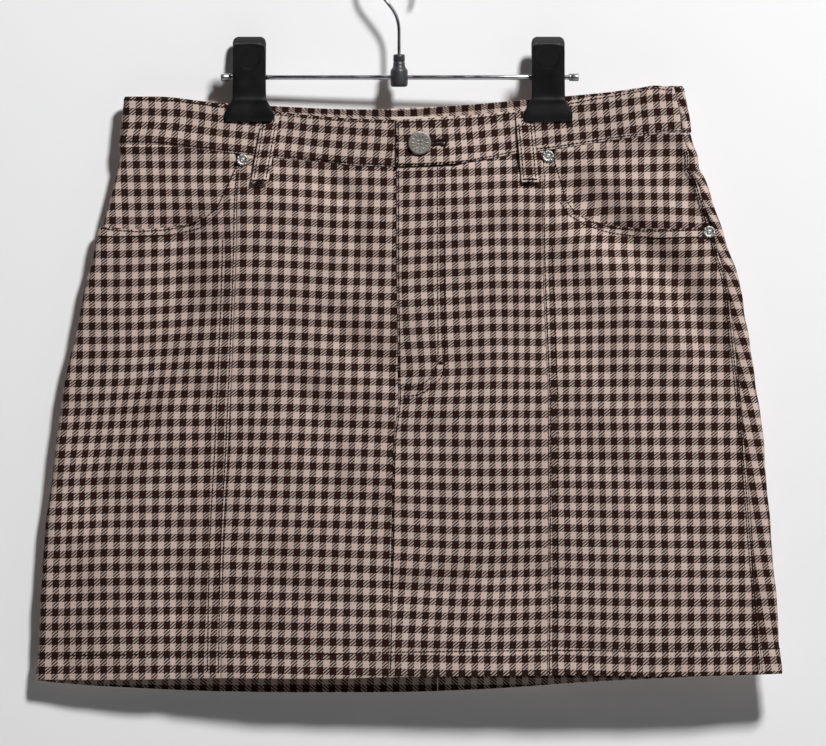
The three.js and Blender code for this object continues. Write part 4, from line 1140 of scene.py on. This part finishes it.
hem_stitches = bmesh.new()
share = np.linspace(0, 1, 900)
for start, end in ((left_side_seam, side_seam), (side_seam, far_side_seam)):
    z = meet(lambda z: mix(start(z), end(z), share), hem_edge, HEM_NEAR, share.shape) + HEM_ROW
    cloth_row(hem_stitches, mix(start(z), end(z), share), z, 0.12)
finish_piece(hem_stitches, "stitching_hem", thread)

band_stitches = bmesh.new()


def band_row(start, end, from_top, rise):
    share = np.linspace(0, 1, 700)
    girth, z = strip(start, end, share, from_top, waist_top, -127, waist_seam, -157)
    lift = BAND_PROUD - 0.16 + 0.3 * slub(girth, z) + (rise(girth, z) if rise else 0)
    stitch_row(band_stitches, girth, z, lift)


for from_top in (0.062, 0.953):
    band_row(left_side_seam, lambda z: front_girth(-4.0, z), from_top, None)
    band_row(lambda z: front_girth(-0.6, z), side_seam, from_top, lap_raise)
    band_row(side_seam, far_side_seam, from_top, None)
lap_edge_z = np.linspace(-130, -159.5, 40)
lap_edge_girth = front_girth(-0.4, lap_edge_z)
stitch_row(band_stitches, lap_edge_girth, lap_edge_z, BAND_PROUD + lap_raise(lap_edge_girth, lap_edge_z))
finish_piece(band_stitches, "stitching_waistband", thread)

seam_stitches = bmesh.new()
J_OUTER = [(33.3, -161.7), (33.1, -303.8), (30.7, -314.4), (27.9, -317.2), (20.5, -324.1),
           (11.2, -327.4), (-0.1, -327.8)]
J_INNER = [(27.8, -161.7), (28.2, -303.8), (22.8, -314.4), (18.6, -318.1), (11.2, -321.2), (4.8, -321.2)]
for line in (J_OUTER, J_INNER):
    girth, z = line_on_cloth(line, count=260)
    cloth_row(seam_stitches, girth, z, raise_at=flap_raise)
POCKET_ROW_LEFT = [(-121.5, -184.9), (-133.5, -198.7), (-143.8, -205.8), (-148.7, -207.4),
                   (-166.8, -211.2), (-190.7, -212.3), (-218.3, -212)]
POCKET_ROW_RIGHT = [(116.3, -187.1), (122.7, -196.9), (135.5, -204.9), (154.7, -210), (186.7, -213.2),
                    (218.9, -212.5)]
for line in (POCKET_ROW_LEFT, POCKET_ROW_RIGHT):
    cloth_row(seam_stitches, *line_on_cloth(line))
for line in (LEFT_POCKET[1:], RIGHT_POCKET[1:-1]):
    cloth_row(seam_stitches, *line_on_cloth([(x, z - 1.6) for x, z in line]), 0.05)
for column, shifts in ((LEFT_SEAM, (-1.5, -9.5)), (RIGHT_SEAM, (1.5, 7.0)), (CENTRE_SEAM, (1.6,))):
    for shift in shifts:
        z = np.linspace(-164 if column == CENTRE_SEAM or abs(shift) < 3 else -214, -529, 300)
        girth = seam_line(column, shift)(z)
        cloth_row(seam_stitches, girth, z, raise_at=flap_raise if column == CENTRE_SEAM else None)
for shift in (-1.5, -3.2):
    z = np.linspace(-150, -529, 300)
    cloth_row(seam_stitches, side_seam(z) + shift, z)
    cloth_row(seam_stitches, left_side_seam(z) - shift, z)
z = np.linspace(-158, -539, 300)
for shift in (-1.5, 1.5):
    cloth_row(seam_stitches, back_seam(z) + shift, z)
finish_piece(seam_stitches, "stitching_seams", thread)

tack_stitches = bmesh.new()
for start, end in ([(28.2, -303.8), (33.1, -303.8)], [(3.9, -321.2), (9.4, -321.2)]):
    for shift in (-0.5, 0, 0.5):
        girth, z = line_on_cloth([(start[0], start[1] + shift), (end[0], end[1] + shift)], count=20)
        cloth_row(tack_stitches, girth, z, 0.25, flap_raise, pitch=1.2, length=1.6, thick=0.4)
for loop in BELT_LOOPS:
    girth_at = front_girth if loop[1] else back_girth
    for side in (-1, 1):
        share = np.linspace(0.16 if loop[1] else 0.05, 0.96, 60)
        z = mix(float(loop[4]), float(loop[5]), share)
        girth = girth_at(loop_middle(loop, share) + side * (LOOP_WIDTH / 2 - 1.9), z)
        stitch_row(tack_stitches, girth, z, loop_raise(share) - 0.1)
    share = np.full(24, 0.965)
    z = mix(float(loop[4]), float(loop[5]), share)
    across = np.linspace(-LOOP_WIDTH / 2 + 0.6, LOOP_WIDTH / 2 - 0.6, 24)
    girth = girth_at(loop_middle(loop, share) + across, z)
    for lift in (0.0, 0.5):
        stitch_row(tack_stitches, girth, z + lift, loop_raise(share) - 0.1, 1.3, 1.9, 0.38)
finish_piece(tack_stitches, "stitching_tacks_and_loops", thread)

HOLE = [(21, -144.8), (31.5, -144)]
hole_lift = BAND_PROUD + LAP_RAISE + 0.5
buttonhole = bmesh.new()
for k in range(26):
    share = k / 25
    x = mix(HOLE[0][0], HOLE[1][0], share)
    z = mix(HOLE[0][1], HOLE[1][1], share)
    for side in (-1, 1):
        tall = 2.1 + (1.0 if share > 0.84 else 0)
        turn = place_on_cloth(float(front_girth(x, z)), z + side * (0.35 + tall / 2), hole_lift)
        size = Matrix.Diagonal((tall * 0.00062, 0.0005, 0.0004, 1))
        bmesh.ops.create_icosphere(buttonhole, subdivisions=1, radius=1, matrix=turn @ size)
eye_x, eye_z = HOLE[1]
for k in range(14):
    angle = math.pi * (k / 13 - 0.5)
    spot_x = eye_x + 2.2 * math.cos(angle)
    spot_z = eye_z + 2.4 * math.sin(angle)
    turn = place_on_cloth(float(front_girth(spot_x, spot_z)), spot_z, hole_lift,
                          (math.cos(angle), 0, math.sin(angle)))
    size = Matrix.Diagonal((0.0011, 0.0004, 0.0004, 1))
    bmesh.ops.create_icosphere(buttonhole, subdivisions=1, radius=1, matrix=turn @ size)
tail_points = [(31.1, -144.3), (31.8, -146.9), (32.9, -148.7), (34.4, -150.9)]
girth, z = line_on_cloth(tail_points, count=40)
stitch_row(buttonhole, girth, z, BAND_PROUD + LAP_RAISE * 0.8 + 0.5, 0.9, 1.2, 0.5)
finish_piece(buttonhole, "buttonhole", thread)

# Button: a stamped metal shank button in dull antique silver, with a rolled rim and a flat face
# with plain short raised bars, held by a tack through the band.
SILVER = {"sharpen": (0.35, 0.65), "wear": (0.3, 0.7, 0.56, 0.42), "bump": (0.25, 0.0002)}
antique_silver = mottled("antique silver", 0.42, 1.0, 420.0, 4.0, (0.2, 0.185, 0.17),
                         (0.38, 0.36, 0.335), **SILVER)[0]


def turned(shape, profile, turn, steps=48):
    """Spins a profile of radius and height round an axis and sets it in place."""
    verts = [shape.verts.new((radius * 0.001, 0, height * 0.001)) for radius, height in profile]
    edges = [shape.edges.new(pair) for pair in zip(verts, verts[1:])]
    made = bmesh.ops.spin(shape, geom=verts + edges, cent=(0, 0, 0), axis=(0, 0, 1),
                          angle=2 * math.pi, steps=steps, use_merge=True)
    loose = list({vert for part in (verts, made["geom_last"]) for vert in part
                  if isinstance(vert, bmesh.types.BMVert) and vert.is_valid})
    whole = set(loose)
    grown = list(loose)
    while grown:
        vert = grown.pop()
        for edge in vert.link_edges:
            other = edge.other_vert(vert)
            if other not in whole:
                whole.add(other)
                grown.append(other)
    whole = list(whole)
    bmesh.ops.remove_doubles(shape, verts=whole, dist=1e-7)
    whole = [vert for vert in whole if vert.is_valid]
    faces = list({face for vert in whole for face in vert.link_faces})
    bmesh.ops.recalc_face_normals(shape, faces=faces)
    bmesh.ops.transform(shape, matrix=turn, verts=whole)


button_seat = BAND_PROUD + LAP_RAISE + SEAM_GAP
button_turn = place_on_cloth(float(front_girth(14.4, -144.8)), -144.8, button_seat)
button = bmesh.new()
turned(button, [
    (0, 0), (4.6, 0), (4.6, 0.7), (7.3, 0.7), (8.1, 0.95), (8.5, 1.5), (8.5, 2.0), (8.3, 2.4),
    (7.9, 2.6), (7.5, 2.62), (6.0, 2.55), (4.0, 2.5), (0, 2.48),
], button_turn)
for count, first, out, height, size in ((12, 0, 0.0053, 0.00252, (0.0016, 0.00055, 0.0004)),
                                        (4, 0.5, 0.0018, 0.00248, (0.0013, 0.0006, 0.0004))):
    for k in range(count):
        angle = 2 * math.pi * (k + first) / count
        spot = Matrix.Translation((out * math.cos(angle), out * math.sin(angle), height))
        bar = spot @ Matrix.Rotation(angle, 4, "Z") @ Matrix.Diagonal((*size, 1))
        bmesh.ops.create_icosphere(button, subdivisions=2, radius=1, matrix=button_turn @ bar)
finish_piece(button, "jeans_button", antique_silver, "button")

# Rivets: one at each end of the pocket openings, a pressed ring of nine beads in a lighter antique
# silver than the button's, with a burr through its middle.
RIVETS = [
    ("rivet_left_inner", float(front_girth(-113.5, -157)), -157),
    ("rivet_right_inner", float(front_girth(107.9, -154.2)), -154.2),
    ("rivet_right_outer", float(front_girth(224.7, -208.9)), -208.9),
    ("rivet_left_outer", -7.6, -209),
]
rivet_silver = mottled("rivet silver", 0.42, 1.0, 420.0, 4.0, (0.36, 0.345, 0.33),
                       (0.7, 0.685, 0.665), **SILVER)[0]
for name, girth, z in RIVETS:
    rivet = bmesh.new()
    turn = place_on_cloth(girth, z, BAND_PROUD + SEAM_GAP)
    turned(rivet, [
        (0, 0), (4.1, 0), (4.3, 0.25), (4.25, 0.6), (3.9, 0.8), (3.4, 0.85), (2.9, 0.7), (2.4, 0.35),
        (2.0, 0.3), (1.8, 0.6), (1.6, 1.2), (1.1, 1.5), (0.6, 1.4), (0, 1.2),
    ], turn, 36)
    for k in range(9):
        angle = 2 * math.pi * k / 9
        spot = Matrix.Translation((0.0034 * math.cos(angle), 0.0034 * math.sin(angle), 0.0009))
        bmesh.ops.create_icosphere(rivet, subdivisions=2, radius=0.00095, matrix=turn @ spot)
    finish_piece(rivet, name + "_burr", rivet_silver, name)

# Hook: a bright plated steel wire, bent to a round hook that goes over the rail, with its foot
# seated in the hub.
chrome = mottled("plated steel", 0.16, 1.0, 160.0, 3.0, (0.62, 0.63, 0.65), (0.84, 0.85, 0.87),
                 wear=(0.3, 0.7, 0.12, 0.24))[0]
ROD_HEIGHT = -96.7
ROD_RADIUS = 1.85
WIRE_RADIUS = 1.4
WIRE_SIDES = 8
HOOK_RADIUS = 21
HOOK_CENTRE_HEIGHT = -19.6
HOOK_BEND_HEIGHT = -53
HOOK_FOOT = -88
HOOK_END_ANGLE = -25


def wire_tube(name, points, radius, material, node=None, sides=WIRE_SIDES):
    """A round wire through points in millimetres, closed at both ends."""
    curve = bpy.data.curves.new(name, "CURVE")
    curve.dimensions = "3D"
    curve.bevel_depth = radius * 0.001
    curve.bevel_resolution = sides
    curve.use_fill_caps = True
    spline = curve.splines.new("POLY")
    spline.points.add(len(points) - 1)
    for spot, point in zip(spline.points, points):
        spot.co = (point[0] * 0.001, point[1] * 0.001, point[2] * 0.001, 1)
    source = bpy.data.objects.new(name + "_path", curve)
    bpy.context.scene.collection.objects.link(source)
    mesh = bpy.data.meshes.new_from_object(source.evaluated_get(bpy.context.evaluated_depsgraph_get()))
    bpy.data.objects.remove(source)
    shape = bmesh.new()
    shape.from_mesh(mesh)
    bpy.data.meshes.remove(mesh)
    bmesh.ops.remove_doubles(shape, verts=shape.verts, dist=1e-7)
    bmesh.ops.recalc_face_normals(shape, faces=shape.faces)
    return finish_piece(shape, name, material, node)


rise = HOOK_CENTRE_HEIGHT - HOOK_BEND_HEIGHT
slant = math.asin(HOOK_RADIUS / rise)
slant_length = math.sqrt(rise**2 - HOOK_RADIUS**2)
hook_points = [(0, 0, z) for z in np.linspace(HOOK_FOOT, HOOK_BEND_HEIGHT - 4, 12)]
for share in (0.12, 0.2, 0.35, 0.5, 0.65, 0.8, 0.92):
    along = slant_length * share
    hook_points.append((-math.sin(slant) * along, 0, HOOK_BEND_HEIGHT + math.cos(slant) * along))
for share in np.linspace(0, 1, 60):
    angle = mix(math.pi + slant, math.radians(HOOK_END_ANGLE), share)
    hook_points.append((HOOK_RADIUS * math.cos(angle),
                        0, HOOK_CENTRE_HEIGHT + HOOK_RADIUS * math.sin(angle)))
smooth_points = np.array(hook_points)
for _ in range(3):
    smooth_points[1:-1] = (smooth_points[:-2] + 2 * smooth_points[1:-1] + smooth_points[2:]) / 4
wire_tube("hook_wire_bent", smooth_points, WIRE_RADIUS, chrome, "hook_wire")

# Hub: a dark grey moulded plastic boss with a neck. It holds the foot of the hook and the middle
# of the rod.
grey_plastic = mottled("grey moulded plastic", 0.42, 0.0, 700.0, 2.0, (0.022, 0.023, 0.026),
                       (0.04, 0.041, 0.045), bump=(0.2, 0.0001))[0]
hub = bmesh.new()
turned(hub, [
    (0, -103.6), (4.9, -103.6), (5.7, -103.2), (6.2, -102.2), (6.35, -101), (6.35, -92.6), (6.1, -91.4),
    (5.2, -90.2), (4.5, -89), (4.35, -87.5), (4.3, -86.2), (4.05, -86), (4.05, -84.9), (4.3, -84.7),
    (4.2, -81), (3.9, -80.2), (3.3, -80), (0, -80),
], Matrix.Identity(4), 40)
finish_piece(hub, "hub_boss", grey_plastic, "hanger_hub")

# Rod and caps: a straight plated steel rod on which the clips slide, with a pressed satin cap on
# each end.
ROD_LEFT = -127
ROD_RIGHT = 128
rod = bmesh.new()
lying = Matrix.Translation((0, 0, ROD_HEIGHT * 0.001)) @ Matrix.Rotation(math.pi / 2, 4, "Y")
turned(rod, [
    (0, ROD_LEFT), (ROD_RADIUS - 0.25, ROD_LEFT), (ROD_RADIUS, ROD_LEFT + 0.3), (ROD_RADIUS, -60),
    (ROD_RADIUS, 0), (ROD_RADIUS, 60), (ROD_RADIUS, ROD_RIGHT - 0.3), (ROD_RADIUS - 0.25, ROD_RIGHT),
    (0, ROD_RIGHT),
], lying, 32)
finish_piece(rod, "rod_bar", chrome, "rod")

satin_steel = mottled("satin steel", 0.34, 1.0, 500.0, 3.0, (0.36, 0.36, 0.37), (0.6, 0.6, 0.61))[0]
for name, end, way in (("left", ROD_LEFT, -1), ("right", ROD_RIGHT, 1)):
    cap = bmesh.new()
    profile = [(1.9, -4.7), (2.6, -4.7), (2.9, -4.4), (2.9, -3.9), (2.7, -3.7), (2.7, -3.3), (2.9, -3.1),
               (2.9, 1.5), (2.7, 2.05), (2.2, 2.3), (0, 2.35)]
    turn = Matrix.Translation((end * 0.001, 0, ROD_HEIGHT * 0.001)) @ Matrix.Rotation(
        way * math.pi / 2, 4, "Y")
    turned(cap, profile, turn, 28)
    finish_piece(cap, f"rod_cap_{name}_pressed", satin_steel, f"rod_cap_{name}")

# Clips: two black moulded arms on the rod, pinched together by a torsion spring. Each arm has a
# finger pad with a shallow round hollow at its top and a wide jaw at its foot.
black_plastic, tree, shader = mottled("black moulded plastic", 0.4, 0.0, 60.0, 3.0,
                                      (0.0028, 0.0024, 0.0028), (0.0052, 0.0046, 0.0052),
                                      wear=(0.35, 0.65, 0.36, 0.5))
relief(tree, shader, noise_at(tree, object_place(tree), 900.0), 0.12, 0.0001)
shader.inputs["Specular IOR Level"].default_value = 0.35

# height, half width, inner face and outer face from the rod's plane
JAW = [
    (-111.7, 12.2, 3.2, 6.2),
    (-118, 15.4, 2.9, 6.1),
    (-123.5, JAW_HALF_WIDTH, 2.9, 5.9),
    (-127, JAW_HALF_WIDTH, 2.9, 5.3),
    (JAW_BOTTOM, 16.2, 2.9, 4.4),
]
FRONT_ARM = [
    (-72.4, 8.4, 13.6, 15.8),
    (-74, 10.9, 12.9, 16),
    (-77, 11.8, 11.6, 15),
    (-92, 11.9, 5, 8.4),
    (-99, 12, 3.6, 6.9),
] + JAW
BACK_ARM = [
    (-67, 8.6, 7.6, 9.8),
    (-68.6, 11.2, 7.2, 10.2),
    (-72, 12.1, 6.6, 9.9),
    (-90, 12, 3.8, 7.1),
    (-99, 12, 3.5, 6.6),
] + JAW


def clip_arm(name, node, middle, side, table, pad_height, ear_at):
    """A bent plate with rounded edges, a hollow finger pad and two ears on the rod."""
    top = table[0][0]
    foot = table[-1][0]
    across_count, down_count = 28, 72
    arm = bmesh.new()
    bmesh.ops.create_grid(arm, x_segments=across_count, y_segments=down_count, size=1)
    for vert in arm.verts:
        share = vert.co.x
        z = mix(foot, top, (vert.co.y + 1) / 2)
        half = float(read(table, 1, z))
        outer = float(read(table, 3, z))
        hollow = math.hypot(share * half, z - pad_height)
        outer -= 0.75 * (1 - float(ease(7.2, 9.2, hollow)))
        outer -= 0.5 * abs(share) ** 6
        outer += 0.35 * float(bell(z, -113.5, 1.6))
        vert.co = Vector((middle + share * half, side * outer, z)) * 0.001
    faces = list(arm.faces)
    made = bmesh.ops.extrude_face_region(arm, geom=faces, use_keep_orig=True)
    for vert in (item for item in made["geom"] if isinstance(item, bmesh.types.BMVert)):
        z = vert.co.z * 1000
        vert.co.y = side * float(read(table, 2, z)) * 0.001
    bmesh.ops.recalc_face_normals(arm, faces=arm.faces)
    rims = [edge for edge in arm.edges if edge.is_manifold and edge.calc_face_angle(0) > 0.9]
    bmesh.ops.bevel(arm, geom=rims, offset=0.0005, affect="EDGES", segments=2, profile=0.5, material=-1)
    for way in (-1, 1):
        outline = [(-5.6, 11), (1.5, 5), (3, 2.4), (3, -2.4), (1, -6), (-4.2, -9)]
        ear = [arm.verts.new(((middle + way * ear_at - 1) * 0.001, -side * y * 0.001,
                              (ROD_HEIGHT + z) * 0.001)) for y, z in outline]
        plate = arm.faces.new(ear)
        made = bmesh.ops.extrude_face_region(arm, geom=[plate], use_keep_orig=True)
        moved = [item for item in made["geom"] if isinstance(item, bmesh.types.BMVert)]
        bmesh.ops.translate(arm, vec=(0.002, 0, 0), verts=moved)
        verts = ear + moved
        faces = list({face for vert in verts for face in vert.link_faces})
        bmesh.ops.recalc_face_normals(arm, faces=faces)
        edges = list({edge for vert in verts for edge in vert.link_edges})
        bmesh.ops.bevel(arm, geom=edges, offset=0.0003, affect="EDGES", segments=2, profile=0.5,
                        material=-1)
    finish_piece(arm, name, black_plastic, node)


COIL_TURNS = 5
COIL_STEPS = 100
COIL_RADIUS = 2.6
COIL_HALF = 3.0
COIL_WIRE = 0.5
for clip, middle in (("clip_left", CLIP_LEFT), ("clip_right", CLIP_RIGHT)):
    clip_arm(clip + "_front", clip + "_front_arm", middle, -1, FRONT_ARM, -82.6, 9.4)
    clip_arm(clip + "_back", clip + "_back_arm", middle, 1, BACK_ARM, -80, 6.6)
    coil = []
    for k in range(COIL_STEPS + 1):
        angle = 2 * math.pi * COIL_TURNS * k / COIL_STEPS + math.pi
        coil.append((middle + COIL_HALF * (2 * k / COIL_STEPS - 1), COIL_RADIUS * math.sin(angle),
                     ROD_HEIGHT + COIL_RADIUS * math.cos(angle)))
    start = middle - COIL_HALF
    end = middle + COIL_HALF
    start_leg = [(start, -5.4, ROD_HEIGHT + 12), (start, -3.0, ROD_HEIGHT + 3)]
    end_leg = [(end, 2.9, ROD_HEIGHT + 3), (end, 4.2, ROD_HEIGHT + 12)]
    wire_tube(clip + "_coil", start_leg + coil + end_leg, COIL_WIRE, satin_steel,
              clip + "_spring", 3)

# Wall, floor, light and camera, as in a plain studio: a white wall close behind the skirt, a pale
# floor below it, a soft light above and to the right of the camera, a weak one at the right and one
# behind. The wall is one-sided and casts no shadow, so the skirt shows and is lit from behind too.
wall_paint, tree, shader = mottled("wall paint", 0.9, 0.0, 3.0, 4.0, (0.80, 0.80, 0.81),
                                   (0.84, 0.84, 0.845))
shader.inputs["Specular IOR Level"].default_value = 0.1
clear = shader_node(tree, "ShaderNodeBsdfTransparent")
facing_side = shader_node(tree, "ShaderNodeNewGeometry").outputs["Backfacing"]
one_sided = shader_node(tree, "ShaderNodeMixShader", None, i0=facing_side)
tree.links.new(shader.outputs[0], one_sided.inputs[1])
tree.links.new(clear.outputs[0], one_sided.inputs[2])
tree.links.new(one_sided.outputs[0], tree.nodes["Material Output"].inputs["Surface"])


def stage_plane(name, turn, size, material):
    shape = bmesh.new()
    bmesh.ops.create_grid(shape, x_segments=4, y_segments=4, size=size, matrix=turn)
    plane = linked_object(name, shape)
    plane.data.materials.append(material)
    return plane


WALL_BEHIND = 0.0215
WALL_TURN = 2.3
FLOOR_HEIGHT = -2.4
upright = Matrix.Rotation(math.radians(WALL_TURN), 4, "Z") @ Matrix.Rotation(math.pi / 2, 4, "X")
wall = stage_plane("wall", Matrix.Translation((0, WALL_BEHIND, 0.2)) @ upright, 1.6, wall_paint)
wall.visible_shadow = False
floor_paint = mottled("pale floor", 0.7, 0.0, 5.0, 4.0, (0.5, 0.5, 0.5), (0.56, 0.56, 0.56))[0]
stage_plane("floor", Matrix.Translation((0, 0, FLOOR_HEIGHT)), 6, floor_paint)


def soft_light(name, place, aim, power, size):
    lamp = bpy.data.lights.new(name, "AREA")
    lamp.energy = power
    lamp.size = size
    holder = bpy.data.objects.new(name, lamp)
    holder.location = place
    holder.rotation_euler = (Vector(aim) - Vector(place)).to_track_quat("-Z", "Y").to_euler()
    bpy.context.scene.collection.objects.link(holder)


soft_light("key light", (1.3, -2.4, 2.05), (0, 0, -0.35), 164, 0.5)
soft_light("side light", (2.6, -1.5, -0.1), (0, 0, -0.35), 3, 1.2)
soft_light("back light", (-0.6, 2.4, 1.2), (0, 0, -0.3), 55, 1.4)
world = bpy.data.worlds.new("studio")
bpy.context.scene.world = world
world.use_nodes = True
world.node_tree.nodes["Background"].inputs[0].default_value = (0.94, 0.95, 0.97, 1)
world.node_tree.nodes["Background"].inputs[1].default_value = 0.02

SENSOR = 36
CAMERA_AWAY = 7.2
VIEW_WIDTH = 0.59885
camera_data = bpy.data.cameras.new("camera")
camera_data.sensor_width = SENSOR
camera_data.lens = SENSOR * CAMERA_AWAY / VIEW_WIDTH
camera = bpy.data.objects.new("camera", camera_data)
camera.location = (0.0101, -CAMERA_AWAY, -0.3111)
camera.rotation_euler = (math.pi / 2, 0, 0)
bpy.context.scene.collection.objects.link(camera)
bpy.context.scene.camera = camera
bpy.context.scene.view_settings.view_transform = "Standard"
